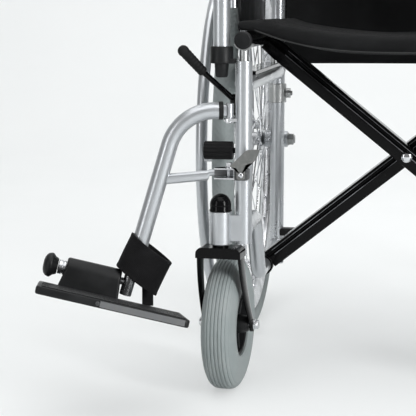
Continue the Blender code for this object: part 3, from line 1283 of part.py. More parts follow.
def side_pieces(paint):
    """Every mesh of one side, as (piece name, mesh, name of the empty that carries it)."""
    table = [
        ("side_frame", side_frame, "silver", "side"), ("push_grip", push_grip, "plastic", "side"),
        ("caster_cap", caster_cap, "gloss", "side"), ("arm_socket", arm_socket, "plastic", "side"),
        ("brake_bracket", brake_bracket, "plastic", "side"), ("legrest_latch", legrest_latch, "zinc", "latch"),
        ("rear_axle", rear_axle, "chrome", "axle_seat"), ("rear_tyre", rear_tyre, "grey", "rear_wheel"),
        ("rear_wheel", rear_wheel, "chrome", "rear_wheel"), ("hand_rim", hand_rim, "silver", "rear_wheel"),
        ("caster_fork", caster_fork, "gloss", "caster"), ("caster_axle", caster_axle, "chrome", "caster_axle_seat"),
        ("caster_core", caster_core, "plastic", "caster_hub"), ("caster_tyre", caster_tyre, "grey", "caster_hub"),
        ("armrest_frame", armrest_frame, "silver", "armrest"), ("arm_pad", arm_pad, "plastic", "armrest"),
        ("side_panel", side_panel, "plastic", "armrest"), ("brake_lever", brake_lever, "gloss", "brake_lever"),
        ("brake_grip", brake_grip, "rubber", "brake_lever"), ("brake_arm", brake_arm, "gloss", "brake_arm"),
        ("brake_shoe", brake_shoe, "rubber", "brake_arm"), ("legrest_hanger", legrest_hanger, "silver", "legrest"),
        ("footplate_tube", footplate_tube, "chrome", "legrest"), ("footplate_knob", footplate_knob, "plastic", "legrest"),
        ("heel_loop", heel_loop, "fabric", "legrest"), ("footplate", footplate, "plastic", "footplate"),
    ]
    return [(name, finished_mesh(make(), name, paint[finish]), pivot) for name, make, finish, pivot in table]


def side_pivots():
    """For each carrying empty of one side: its parent, its place, and whether its meshes use side coordinates."""
    caster = Matrix.Translation((CASTER_X, CASTER_Y, 0)) @ Matrix.Rotation(math.radians(CASTER_TURN_DEG), 4, "Z")
    swing = Matrix.Rotation(math.radians(HANGER_SWING_DEG), 4, "Z")
    inner_up = Matrix.Rotation(math.radians(PLATE_INNER_UP_DEG), 4, "Y")
    at = Matrix.Translation
    return {
        "axle_seat": ("side", at((TYRE_PLANE_X, AXLE_Y, WHEEL_R)), False),
        "rear_wheel": ("side", at((TYRE_PLANE_X, AXLE_Y, WHEEL_R)), False),
        "caster": ("side", caster, False),
        "caster_axle_seat": ("caster", at((0, CASTER_TRAIL, CASTER_R)), False),
        "caster_hub": ("caster", at((0, CASTER_TRAIL, CASTER_R)), False),
        "armrest": ("side", at((ARM_X, 0, ARM_SOCKET_TOP_Z)), True),
        "brake_lever": ("side", at((FRAME_OUTER_X, BRAKE_PIVOT_Y, BRAKE_PIVOT_Z)), True),
        "brake_arm": ("side", at((FRAME_OUTER_X, SHOE_PIVOT_Y, SHOE_PIVOT_Z)), True),
        "latch": ("side", at((LATCH_X, LATCH_FACE_Y, LATCH_Z)), True),
        "legrest": ("side", at((HANGER_PIVOT_X, 0, 0)) @ swing, False),
        "footplate": ("legrest", tilted_hinge() @ inner_up, False),
    }


def assemble_side(label, side_empty, pieces):
    """The empties and nodes of one side."""
    empties = {"side": side_empty}
    offsets = {"side": None}
    for name, (parent, matrix, side_drawn) in side_pivots().items():
        empties[name] = new_empty(f"{label}_{name}_pivot", empties[parent], matrix)
        offsets[name] = matrix.to_translation() if side_drawn else None
    for name, mesh, pivot in pieces:
        place_piece(f"{label}_{name}", mesh, empties[pivot], offsets[pivot])


def over_the_floor(chair):
    """Moves the whole chair along Y so that the origin lies under the middle of its length."""
    bpy.context.view_layer.update()
    reaches = []
    for piece in bpy.context.scene.objects:
        if piece.type == "MESH":
            reaches += [(piece.matrix_world @ vert.co).y for vert in piece.data.vertices]
    chair.location.y -= (min(reaches) + max(reaches)) / 2


def build():
    """The whole chair: two sides, hinged together by the X-brace, and the fabric."""
    for old in list(bpy.data.objects):
        bpy.data.objects.remove(old)
    paint = {
        "silver": new_material("silver_paint", (0.62, 0.64, 0.66), 0.32, 0.55),
        "chrome": new_material("chrome", (0.75, 0.76, 0.78), 0.12, 1.0),
        "zinc": new_material("zinc_plate", (0.50, 0.50, 0.47), 0.40, 0.8),
        "plastic": new_material("black_plastic", (0.022, 0.023, 0.025), 0.45),
        "gloss": new_material("black_enamel", (0.012, 0.012, 0.014), 0.15),
        "rubber": new_material("black_rubber", (0.018, 0.018, 0.018), 0.75),
        "grey": new_material("grey_tyre", (0.30, 0.33, 0.33), 0.70),
        "fabric": new_material("black_nylon", (0.014, 0.014, 0.015), 0.85),
    }
    chair = new_empty("chair", None, Matrix.Identity(4))
    right_foot = Vector((-FRAME_HALF_WIDTH, BRACE_MID_Y, LOWER_RAIL_Z))
    middle = Vector((0, BRACE_MID_Y, BRACE_PIVOT_Z))
    left_foot = Vector((FRAME_HALF_WIDTH, BRACE_MID_Y, LOWER_RAIL_Z))
    fold = new_empty("fold_pivot", chair, Matrix.Translation(right_foot))
    scissor = new_empty("scissor_pivot", fold, Matrix.Translation(middle - right_foot))
    left_hinge = new_empty("left_foot_pivot", scissor, Matrix.Translation(left_foot - middle))
    pieces = side_pieces(paint)
    right = new_empty("right_side", chair, Matrix.Diagonal((-1, 1, 1, 1)))
    left = new_empty("left_side", left_hinge, Matrix.Translation(-left_foot))
    assemble_side("right", right, pieces)
    assemble_side("left", left, pieces)
    bar_y = BRACE_BAR_DEPTH / 2 + SEAT_GAP
    rear_bar = finished_mesh(brace(-1, BRACE_MID_Y + bar_y), "rear_brace", paint["gloss"])
    front_bar = finished_mesh(brace(1, BRACE_MID_Y - bar_y), "front_brace", paint["gloss"])
    place_piece("rear_brace", rear_bar, fold, right_foot)
    place_piece("front_brace", front_bar, scissor, middle)
    place_piece("brace_bolt", finished_mesh(brace_bolt(), "brace_bolt", paint["chrome"]), fold, right_foot)
    for name, side, carrier, offset in (("left", 1, fold, right_foot), ("right", -1, scissor, middle)):
        plug = finished_mesh(rail_plug(side), f"{name}_rail_plug", paint["plastic"])
        place_piece(f"{name}_rail_plug", plug, carrier, offset)
    place_piece("seat_sling", finished_mesh(seat_sling(), "seat_sling", paint["fabric"]), fold, right_foot)
    place_piece("back_sling", finished_mesh(back_sling(), "back_sling", paint["fabric"]), chair)
    over_the_floor(chair)


build()
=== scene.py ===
"""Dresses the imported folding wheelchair: finishes, wheels, fabric, fittings, light and camera.

Lengths are in metres. A side's pieces are drawn with +X outboard and Y = 0 at the front post, as
the CAD draws them, then placed on the left side and mirrored to the right.
"""

import json
import logging
import math
from collections.abc import Callable, Iterable, Sequence
from dataclasses import dataclass
from enum import Enum

import bpy
import numpy as np
from mathutils import Matrix, Vector
from numpy.typing import ArrayLike

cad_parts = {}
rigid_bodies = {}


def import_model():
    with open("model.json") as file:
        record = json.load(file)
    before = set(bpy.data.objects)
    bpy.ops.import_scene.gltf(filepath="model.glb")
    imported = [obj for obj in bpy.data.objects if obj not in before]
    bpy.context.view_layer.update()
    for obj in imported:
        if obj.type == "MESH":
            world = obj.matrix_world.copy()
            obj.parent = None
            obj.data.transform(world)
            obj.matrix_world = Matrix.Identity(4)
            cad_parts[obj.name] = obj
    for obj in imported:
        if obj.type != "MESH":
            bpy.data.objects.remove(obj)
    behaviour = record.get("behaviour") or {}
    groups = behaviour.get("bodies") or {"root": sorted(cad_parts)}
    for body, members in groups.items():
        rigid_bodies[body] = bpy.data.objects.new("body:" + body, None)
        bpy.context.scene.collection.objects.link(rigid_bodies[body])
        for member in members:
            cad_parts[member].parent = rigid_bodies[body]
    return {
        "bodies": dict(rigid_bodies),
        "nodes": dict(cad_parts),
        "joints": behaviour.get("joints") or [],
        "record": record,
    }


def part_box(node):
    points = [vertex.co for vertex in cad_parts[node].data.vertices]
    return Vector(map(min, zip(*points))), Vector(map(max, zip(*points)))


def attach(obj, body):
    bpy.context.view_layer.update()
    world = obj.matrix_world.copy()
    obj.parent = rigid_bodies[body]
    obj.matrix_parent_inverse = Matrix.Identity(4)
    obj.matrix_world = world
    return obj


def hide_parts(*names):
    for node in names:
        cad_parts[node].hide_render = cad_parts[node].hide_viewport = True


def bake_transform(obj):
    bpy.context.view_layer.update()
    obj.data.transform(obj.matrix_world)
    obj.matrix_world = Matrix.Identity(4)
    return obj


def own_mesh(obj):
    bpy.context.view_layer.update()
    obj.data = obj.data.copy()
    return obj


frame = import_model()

LOG = logging.getLogger("wheelchair")
TAU = 2 * math.pi
GAP = 0.0003
CLOTH_CELL = 0.005
CLOTH_PRESSURE = 4.0
CLOTH_FRAMES = 20


# Finishes


@dataclass(frozen=True)
class Finish:
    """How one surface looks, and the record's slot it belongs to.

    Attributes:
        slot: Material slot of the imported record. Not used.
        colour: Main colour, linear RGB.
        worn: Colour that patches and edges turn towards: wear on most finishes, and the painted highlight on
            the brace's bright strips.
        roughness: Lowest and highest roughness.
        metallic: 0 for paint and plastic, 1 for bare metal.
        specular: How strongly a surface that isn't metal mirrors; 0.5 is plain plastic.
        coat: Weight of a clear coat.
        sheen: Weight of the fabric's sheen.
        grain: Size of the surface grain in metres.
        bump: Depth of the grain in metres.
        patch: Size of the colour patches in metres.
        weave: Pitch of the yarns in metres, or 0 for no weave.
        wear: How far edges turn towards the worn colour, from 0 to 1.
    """

    slot: str
    colour: tuple[float, float, float]
    worn: tuple[float, float, float]
    roughness: tuple[float, float]
    metallic: float = 0.0
    specular: float = 0.5
    coat: float = 0.0
    sheen: float = 0.0
    grain: float = 0.0006
    bump: float = 0.00004
    patch: float = 0.03
    weave: float = 0.0
    wear: float = 0.0


class Look(Enum):
    """Every finish on the chair."""

    PAINT = Finish("silver_paint", (0.50, 0.52, 0.54), (0.40, 0.42, 0.44), (0.26, 0.36), 0.75,
                   coat=0.25, grain=0.0004, bump=0.000015, patch=0.05, wear=0.25)
    CHROME = Finish("chrome", (0.72, 0.73, 0.75), (0.48, 0.49, 0.51), (0.07, 0.20), 1.0,
                    grain=0.002, bump=0.00001, patch=0.02)
    ALLOY = Finish("chrome", (0.58, 0.59, 0.61), (0.42, 0.43, 0.44), (0.22, 0.36), 1.0,
                   grain=0.0005, bump=0.00002, patch=0.02)
    # Painted highlight: bright metallic patches for the thin strips that stand in for light reflected along
    # the brace's edges.
    WORN = Finish("black_enamel", (0.02, 0.02, 0.022), (0.45, 0.46, 0.48), (0.25, 0.40), 0.6,
                  grain=0.0020, bump=0.00001, patch=0.09)
    STEEL = Finish("zinc_plate", (0.20, 0.205, 0.20), (0.34, 0.34, 0.33), (0.34, 0.50), 0.9,
                   grain=0.0006, bump=0.00008, patch=0.004, wear=0.3)
    # Mottled dark grey; on the strut's end inside the channel it is painted shade.
    GRIT = Finish("black_plastic", (0.03, 0.032, 0.033), (0.20, 0.205, 0.21), (0.55, 0.75), specular=0.3,
                  grain=0.0016, bump=0.00015, patch=0.005, wear=0.6)
    ZINC = Finish("zinc_plate", (0.46, 0.47, 0.47), (0.28, 0.29, 0.28), (0.28, 0.44), 1.0,
                  grain=0.0008, bump=0.00003, patch=0.008, wear=0.3)
    PLASTIC = Finish("black_plastic", (0.007, 0.0075, 0.008), (0.018, 0.019, 0.020), (0.36, 0.52),
                     specular=0.2, grain=0.0009, bump=0.00006, patch=0.03, wear=0.35)
    VINYL = Finish("black_plastic", (0.006, 0.006, 0.0065), (0.014, 0.014, 0.015), (0.38, 0.55),
                   specular=0.25, grain=0.0016, bump=0.00014, patch=0.04, wear=0.15)
    ENAMEL = Finish("black_enamel", (0.002, 0.002, 0.0023), (0.006, 0.006, 0.0065), (0.09, 0.15),
                    specular=0.12, grain=0.0007, bump=0.00001, patch=0.05, wear=0.3)
    RUBBER = Finish("black_rubber", (0.006, 0.006, 0.0065), (0.016, 0.016, 0.016), (0.55, 0.75),
                    specular=0.15, grain=0.0010, bump=0.00008, patch=0.02, wear=0.3)
    TYRE = Finish("grey_tyre", (0.225, 0.255, 0.255), (0.29, 0.31, 0.31), (0.50, 0.70), specular=0.35,
                  grain=0.0012, bump=0.00008, patch=0.03, wear=0.35)
    NYLON = Finish("black_nylon", (0.0035, 0.0037, 0.0040), (0.010, 0.0105, 0.011), (0.62, 0.80),
                   specular=0.1, sheen=0.02, patch=0.05, bump=0.00022, weave=0.0011)
    PIPING = Finish("black_nylon", (0.020, 0.021, 0.021), (0.035, 0.036, 0.036), (0.55, 0.75), specular=0.15,
                    sheen=0.03, patch=0.03, bump=0.00015, weave=0.0012)
    WEBBING = Finish("black_nylon", (0.004, 0.004, 0.0045), (0.014, 0.014, 0.015), (0.60, 0.78), specular=0.1,
                     sheen=0.02, patch=0.03, bump=0.00035, weave=0.0019)


def new_node(tree: bpy.types.NodeTree, kind: str, **inputs: object) -> bpy.types.Node:
    """Adds a shader node and wires or sets its inputs.

    Args:
        tree: Node tree that it goes into.
        kind: Node type without its ShaderNode prefix.
        inputs: Input name, or its number as i0, i1 and so on, to a value or an output socket.

    Returns:
        The new node.
    """
    node = tree.nodes.new("ShaderNode" + kind)
    for name, value in inputs.items():
        if name in ("operation", "data_type", "feature"):
            setattr(node, name, value)
            continue
        key = int(name[1:]) if name[0] == "i" and name[1:].isdigit() else name.replace("_", " ")
        socket = node.inputs[key]
        if isinstance(value, bpy.types.NodeSocket):
            tree.links.new(value, socket)
        else:
            socket.default_value = value
    return node


def maths(tree: bpy.types.NodeTree, operation: str, a: object, b: object = 0.0) -> bpy.types.NodeSocket:
    """The result of a maths node on two values or sockets."""
    return new_node(tree, "Math", operation=operation, i0=a, i1=b).outputs[0]


def blank_material(
        label: str, **values: float) -> tuple[bpy.types.Material, bpy.types.NodeTree, bpy.types.Node]:
    """A material, its tree and its shader, whose named inputs are set. An underscore stands for a space."""
    material = bpy.data.materials.new(label)
    material.use_nodes = True
    shader = material.node_tree.nodes["Principled BSDF"]
    for name, value in values.items():
        shader.inputs[name.replace("_", " ")].default_value = value
    return material, material.node_tree, shader


def weave_height(tree: bpy.types.NodeTree, uv: bpy.types.NodeSocket, pitch: float) -> bpy.types.NodeSocket:
    """Height of a plain weave: the size of sin(pi u / pitch) times sin(pi v / pitch).

    Args:
        tree: Material's node tree.
        uv: Coordinates along the cloth in metres.
        pitch: Distance from yarn to yarn.

    Returns:
        Output socket that runs from 0 between the yarns to 1 on their crowns.
    """
    split = new_node(tree, "SeparateXYZ", Vector=uv)
    turns = [maths(tree, "MULTIPLY", split.outputs[axis], math.pi / pitch) for axis in (0, 1)]
    waves = [maths(tree, "SINE", turn) for turn in turns]
    return maths(tree, "ABSOLUTE", maths(tree, "MULTIPLY", *waves))


def make_material(label: str, finish: Finish) -> bpy.types.Material:
    """A procedural material: patchy colour, uneven gloss, fine grain or weave, and worn edges.

    Args:
        label: Name of the material.
        finish: What it looks like.

    Returns:
        The material.
    """
    material, tree, shader = blank_material(label, Metallic=finish.metallic,
                                            Specular_IOR_Level=finish.specular, Coat_Weight=finish.coat,
                                            Coat_Roughness=0.08, Sheen_Weight=finish.sheen)
    coords = new_node(tree, "TexCoord")
    patches = new_node(tree, "TexNoise", Vector=coords.outputs["Object"], Scale=1 / finish.patch, Detail=4.0)
    grain = new_node(tree, "TexNoise", Vector=coords.outputs["Object"], Scale=1 / finish.grain, Detail=2.0)
    height = grain.outputs["Fac"]
    share = new_node(tree, "MapRange", Value=patches.outputs["Fac"], From_Min=0.42, From_Max=0.72).outputs[0]
    if finish.weave:
        height = weave_height(tree, coords.outputs["UV"], finish.weave)
        share = maths(tree, "MAXIMUM", share, maths(tree, "MULTIPLY", height, 0.6))
    if finish.wear:
        edges = new_node(tree, "NewGeometry")
        sharp = new_node(tree, "MapRange", Value=edges.outputs["Pointiness"], From_Min=0.51, From_Max=0.60)
        part = maths(tree, "MULTIPLY", sharp.outputs[0], finish.wear)
        share = maths(tree, "MAXIMUM", maths(tree, "MULTIPLY", share, 0.5), part)
    colour = new_node(tree, "Mix", data_type="RGBA", i0=share, i6=(*finish.colour, 1), i7=(*finish.worn, 1))
    tree.links.new(colour.outputs[2], shader.inputs["Base Color"])
    gloss = new_node(tree, "MapRange", Value=patches.outputs["Fac"], From_Min=0.3, From_Max=0.7,
                     To_Min=finish.roughness[0], To_Max=finish.roughness[1])
    tree.links.new(gloss.outputs[0], shader.inputs["Roughness"])
    relief = new_node(tree, "Bump", Strength=1.0, Distance=finish.bump, Height=height)
    tree.links.new(relief.outputs[0], shader.inputs["Normal"])
    return material


MATERIALS: dict[Look, bpy.types.Material] = {}


def material_of(look: Look) -> bpy.types.Material:
    """The look's material, made on first use."""
    if look not in MATERIALS:
        MATERIALS[look] = make_material(look.name.lower(), look.value)
    return MATERIALS[look]


# Shapes


class Axis(Enum):
    """Where a drawn outline (along, a, b) goes: the axis that 'along' follows."""

    X = 0
    Y = 1
    Z = 2

    def place(self, along: ArrayLike, a: ArrayLike, b: ArrayLike) -> np.ndarray:
        """Turns distances along the axis, and an outline's a and b, into rows of three coordinates."""
        parts = {Axis.X: (along, a, b), Axis.Y: (a, along, b), Axis.Z: (a, b, along)}[self]
        return np.stack(np.broadcast_arrays(*parts), -1)


def unit(vectors: np.ndarray) -> np.ndarray:
    """Each vector of an array divided by its length."""
    return vectors / np.linalg.norm(vectors, axis=-1, keepdims=True)


def mirrored(section: ArrayLike) -> np.ndarray:
    """An outline (x, r) followed by its mirror image in x, back to front."""
    section = np.array(section, float)
    return np.vstack([section, section[::-1] * (-1, 1)])


def bush(half: float, bore: float, outer: float, soft: float) -> list[tuple[float, float]]:
    """Section (x, r) of a short tube whose outer edges are chamfered by soft."""
    return [(-half, bore), (-half, outer - soft), (soft - half, outer), (half - soft, outer),
            (half, outer - soft), (half, bore)]


def upright(x: float, y: float = 0.0, z: float = 0.0) -> Matrix:
    """Stands up at a point what was drawn round the X axis."""
    return Matrix.Translation((x, y, z)) @ Matrix.Rotation(-math.pi / 2, 4, "Y")


def aimed(place: ArrayLike, way: ArrayLike) -> Matrix:
    """Moves what was drawn round the Z axis to a place, and turns it to run the given way."""
    return Matrix.Translation(Vector(place)) @ Vector(way).to_track_quat("Z", "Y").to_matrix().to_4x4()


class Shape:
    """Points and faces of one piece, grown body by body."""

    def __init__(self) -> None:
        """Starts empty."""
        self.points = np.empty((0, 3))
        self.faces: list[np.ndarray] = []

    def loft(self, rings: ArrayLike, closed: bool = False) -> "Shape":
        """Bridges rings of equally many points, with the faces turned so that the volume is positive.

        Args:
            rings: The rings in order, as an array of rings, points and 3.
            closed: Whether the last ring joins the first. If it doesn't, each end gets a face.

        Returns:
            This shape.
        """
        rings = np.array(rings, float)
        grid = np.arange(rings[..., 0].size).reshape(rings.shape[:2])
        near, far = (grid, np.roll(grid, -1, 0)) if closed else (grid[:-1], grid[1:])
        quads = np.stack([near, np.roll(near, -1, 1), np.roll(far, -1, 1), far], 2).reshape(-1, 4)
        ends = [] if closed else [grid[:1, ::-1], grid[-1:]]
        fans = [quads[:, [0, 1, 2]], quads[:, [0, 2, 3]]]
        fans += [Axis.X.place(end[0, 0], end[0, 1:-1], end[0, 2:]) for end in ends]
        points = rings.reshape(-1, 3)
        volume = np.linalg.det((points - points[0])[np.vstack(fans)]).sum()
        way = -1 if volume < 0 else 1
        self.faces += [block[:, ::way] + len(self.points) for block in (quads, *ends)]
        self.points = np.vstack([self.points, points])
        return self

    def tube(self, path: ArrayLike, radius: float, sides: int = 24) -> "Shape":
        """A round bar along a path.

        Args:
            path: Points that its middle follows, as rows of 3.
            radius: Its radius.
            sides: Facets round it.

        Returns:
            This shape.
        """
        middle = np.array(path, float)
        steps = unit(np.diff(middle, axis=0))
        tangents = unit(np.vstack([steps[:1], steps[1:] + steps[:-1], steps[-1:]]))
        across = [np.array(Vector(tangents[0]).orthogonal())]
        for tangent in tangents:
            across.append(unit(across[-1] - tangent * across[-1].dot(tangent)))
        out = np.array(across[1:])[:, None]
        turn = (TAU * np.arange(sides) / sides)[:, None]
        ring = out * np.cos(turn) + np.cross(tangents[:, None], out) * np.sin(turn)
        return self.loft(middle[:, None] + ring * radius)

    def turned(self, profile: ArrayLike, axis: Axis = Axis.X, centre: ArrayLike = (0, 0, 0),
               sides: int = 32) -> "Shape":
        """A profile of (along, radius) turned round an axis, with closed ends."""
        along, radius = np.array(profile, float).T[:, :, None]
        turn = TAU * np.arange(sides) / sides
        return self.loft(axis.place(along, radius * np.cos(turn), radius * np.sin(turn)) + centre)

    def rod(self, start: float, end: float, radius: float, axis: Axis = Axis.X, centre: ArrayLike = (0, 0, 0),
            sides: int = 32, soft: float = 0.0) -> "Shape":
        """A round bar from start to end along an axis, its ends chamfered by soft."""
        profile = [(start, radius - soft), (start + soft, radius), (end - soft, radius), (end, radius - soft)]
        return self.turned(profile if soft else profile[::3], axis, centre, sides)

    def hoop(self, section: ArrayLike, steps: int = 96) -> "Shape":
        """A closed section of (x, radius) turned round the X axis."""
        x, radius = np.array(section, float).T
        turn = (TAU * (np.arange(steps) + 0.5) / steps)[:, None]
        return self.loft(Axis.X.place(x, radius * np.sin(turn), -radius * np.cos(turn)), closed=True)

    def plate(self, outline: ArrayLike, low: float, high: float, axis: Axis = Axis.X) -> "Shape":
        """An outline (a, b) with a thickness from low to high along an axis."""
        return self.loft(axis.place([[low], [high]], *np.array(outline, float).T))

    def box(self, low: Sequence[float], high: Sequence[float]) -> "Shape":
        """A box between two corners."""
        outline = [(low[0], low[1]), (high[0], low[1]), (high[0], high[1]), (low[0], high[1])]
        return self.plate(outline, low[2], high[2], Axis.Z)

    def bolt(self, centre: Sequence[float], direction: Sequence[float], size: float, height: float,
             hexed: bool = False) -> "Shape":
        """A domed or hexagonal bolt head that stands on a face.

        Args:
            centre: Middle of its seat.
            direction: The way it stands out.
            size: Width across.
            height: How far it stands out.
            hexed: Six-sided, on a thin washer, instead of domed.

        Returns:
            This shape.
        """
        half = size / 2
        if hexed:
            head = Shape().rod(0, height * 0.2, half * 1.2, Axis.Z)
            head.turned([(height * 0.2, half), (height * 0.9, half), (height, half * 0.85)], Axis.Z, sides=6)
        else:
            dome = [(height * (0.25 + 0.75 * math.sin(a)), half * math.cos(a) + 0.0001)
                    for a in np.linspace(0, math.pi / 2, 6)]
            head = Shape().turned([(0, half), *dome], Axis.Z, sides=20)
        return self.join(head.moved(aimed(centre, direction)))

    def join(self, other: "Shape") -> "Shape":
        """Takes in another shape's bodies."""
        self.faces += [block + len(self.points) for block in other.faces]
        self.points = np.vstack([self.points, other.points])
        return self

    def moved(self, matrix: Matrix) -> "Shape":
        """A copy placed by a matrix, still pointing out when the matrix mirrors."""
        copy, turn = Shape(), np.array(matrix)
        copy.points = self.points @ turn[:3, :3].T + turn[:3, 3]
        way = -1 if matrix.determinant() < 0 else 1
        copy.faces = [block[:, ::way] for block in self.faces]
        return copy

    def mesh(self, name: str) -> bpy.types.Mesh:
        """The shape as a mesh."""
        mesh = bpy.data.meshes.new(name)
        mesh.from_pydata(self.points.tolist(), [], [face for block in self.faces for face in block.tolist()])
        return mesh


def arc_path(corners: ArrayLike, radius: float, steps: int = 10) -> np.ndarray:
    """The corners joined by straight runs, each inner corner replaced by an arc of this radius."""
    corners = np.array(corners, float)
    share = np.linspace(0, 1, steps + 1)[:, None]
    path = [corners[:1]]
    for before, corner, after in zip(corners, corners[1:], corners[2:]):
        back, ahead = unit(before - corner), unit(after - corner)
        half = math.acos(back.dot(ahead)) / 2
        centre = corner + unit(back + ahead) * radius / math.sin(half)
        start = corner + back * radius / math.tan(half) - centre
        end = corner + ahead * radius / math.tan(half) - centre
        turn = math.pi - 2 * half
        swept = start * np.sin((1 - share) * turn) + end * np.sin(share * turn)
        path.append(centre + swept / math.sin(turn))
    return np.vstack([*path, corners[-1:]])


def round_outline(low: ArrayLike, high: ArrayLike, radius: float, steps: int = 6) -> np.ndarray:
    """A rectangle (a, b) with round corners, anticlockwise, as rows of 2."""
    low, high = np.array(low, float) + radius, np.array(high, float) - radius
    turn = math.pi / 2 * (np.arange(4)[:, None] + np.arange(steps + 1) / steps)
    a = np.array([high[0], low[0], low[0], high[0]])[:, None] + radius * np.cos(turn)
    b = np.array([high[1], high[1], low[1], low[1]])[:, None] + radius * np.sin(turn)
    return np.stack([a.ravel(), b.ravel()], 1)


def new_object(name: str, data: bpy.types.ID) -> bpy.types.Object:
    """A new object in the scene."""
    made = bpy.data.objects.new(name, data)
    bpy.context.scene.collection.objects.link(made)
    return made


def finish_piece(name: str, mesh: bpy.types.Mesh, look: Look, body: str, nodes: Iterable[str] = (),
                 bevel: float = 0.0, angle: float = 35.0) -> bpy.types.Object:
    """Makes a piece of a mesh: material, shading, edges, the body it rides on and what it replaces.

    Args:
        name: Name of the piece.
        mesh: Its mesh, in place.
        look: Its finish.
        body: CAD body that carries it, or nothing for a soft piece.
        nodes: CAD nodes that it stands for.
        bevel: Width of its rounded edges, or 0.
        angle: Edges sharper than this, in degrees, stay sharp or get the bevel.

    Returns:
        The piece.
    """
    piece = new_object(name, mesh)
    mesh.materials.append(material_of(look))
    mesh.shade_smooth()
    mesh.set_sharp_from_angle(angle=math.radians(angle))
    if bevel:
        modifier = piece.modifiers.new("edges", "BEVEL")
        modifier.width = bevel
        modifier.segments = 2
        modifier.limit_method = "ANGLE"
        modifier.angle_limit = math.radians(angle)
        modifier.harden_normals = True
    if body:
        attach(piece, body)
    if nodes:
        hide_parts(*nodes)
    LOG.info("%s: %s, on %s", name, look.name.lower(), body or "no body")
    return piece


def piece_of(name: str, shape: Shape, look: Look, body: str, nodes: Iterable[str] = (),
             bevel: float = 0.0, angle: float = 35.0) -> bpy.types.Object:
    """Makes a piece of a shape. The arguments are finish_piece's."""
    return finish_piece(name, shape.mesh(name), look, body, nodes, bevel, angle)


def grid_mesh(name: str, surface: np.ndarray, uv: np.ndarray) -> bpy.types.Mesh:
    """A mesh of one numpy surface of quads that closes on itself both ways.

    Args:
        name: Name of the mesh.
        surface: Points as an array of rows, columns and 3.
        uv: Distances along the surface in metres, as rows, columns and 2.

    Returns:
        The mesh, with its faces pointing away from its middle.
    """
    rows, columns = surface.shape[:2]
    i, j = np.indices((rows, columns)).reshape(2, -1)
    k, m = (i + 1) % rows, (j + 1) % columns
    quads = np.stack([i * columns + j, k * columns + j, k * columns + m, i * columns + m], axis=1)
    steps = np.stack([np.stack([a, b], 1) for a, b in ((i, j), (i + 1, j), (i + 1, j + 1), (i, j + 1))], 1)
    points = surface.reshape(-1, 3)
    centred = points - points.mean(0)
    fans = np.vstack([quads[:, [0, 1, 2]], quads[:, [0, 2, 3]]])
    if np.linalg.det(centred[fans]).sum() < 0:
        quads, steps = quads[:, ::-1], steps[:, ::-1]
    mesh = bpy.data.meshes.new(name)
    mesh.from_pydata(points.tolist(), [], quads.tolist())
    u, v = uv[..., 0], uv[..., 1]
    u = np.vstack([u, u[-1:] + np.gradient(u, axis=0)[-1:]])
    v = np.hstack([v, v[:, -1:] + np.gradient(v, axis=1)[:, -1:]])
    u, v = np.hstack([u, u[:, :1]]), np.vstack([v, v[:1]])
    row, column = steps.reshape(-1, 2).T
    coords = np.stack([u[row, column], v[row, column]], 1)
    mesh.uv_layers.new(name="UVMap").data.foreach_set("uv", coords.astype(np.float32).ravel())
    return mesh


@dataclass
class Side:
    """One side of the chair: it places what is drawn with +X outboard.

    Attributes:
        label: "left" or "right", the prefix of every piece, body and node.
        sign: +1 on the left, -1 on the right.
        shift: The chair's front post along Y.
    """

    label: str
    sign: int
    shift: float

    def matrix(self, local: Matrix | None = None) -> Matrix:
        """Matrix from a piece's own drawing to the chair."""
        placed = Matrix.Translation((0, self.shift, 0)) @ Matrix.Diagonal((self.sign, 1, 1, 1))
        return placed @ local if local else placed

    def names(self, nodes: Iterable[str]) -> list[str]:
        """Node names with this side's prefix."""
        return [f"{self.label}_{node}" for node in nodes]

    def add(self, name: str, shape: Shape, look: Look, body: str, nodes: Iterable[str] = (),
            local: Matrix | None = None, bevel: float = 0.0, angle: float = 35.0) -> bpy.types.Object:
        """Adds a piece from a shape drawn for this side. Body and nodes are named without the side."""
        return piece_of(f"{self.label}_{name}", shape.moved(self.matrix(local)), look, f"{self.label}_{body}",
                        self.names(nodes), bevel, angle)

    def add_grid(self, name: str, grids: tuple[np.ndarray, np.ndarray], look: Look, body: str,
                 nodes: Iterable[str] = (), local: Matrix | None = None) -> bpy.types.Object:
        """Adds a piece from a numpy surface and its UV grid, drawn for this side."""
        matrix = np.array(self.matrix(local))
        mesh = grid_mesh(f"{self.label}_{name}", grids[0] @ matrix[:3, :3].T + matrix[:3, 3], grids[1])
        return finish_piece(f"{self.label}_{name}", mesh, look, f"{self.label}_{body}", self.names(nodes))


def ring_surface(section: np.ndarray, steps: int,
                 depth: Callable | None = None) -> tuple[np.ndarray, np.ndarray]:
    """A section of (x, radius) turned round X, with a tread cut into it.

    Args:
        section: Closed section as rows of x and radius, and with a tread of how deep it cuts there, 0 to 1.
        steps: Steps round the wheel.
        depth: Takes the angle round the wheel and x, both as grids, and gives the tread's depth.

    Returns:
        The surface and its UV grid, for grid_mesh.
    """
    turn, x = np.meshgrid((np.arange(steps) + 0.5) * TAU / steps, section[:, 0], indexing="ij")
    radius = section[:, 1] - (depth(turn, x) * section[:, 2] if depth else np.zeros_like(x))
    along = np.concatenate([[0], np.cumsum(np.hypot(*np.diff(section[:, :2], axis=0).T))])
    uv = np.stack([turn * section[:, 1].max(), np.broadcast_to(along, turn.shape)], axis=2)
    return Axis.X.place(x, radius * np.sin(turn), -radius * np.cos(turn)), uv


# Rear wheel


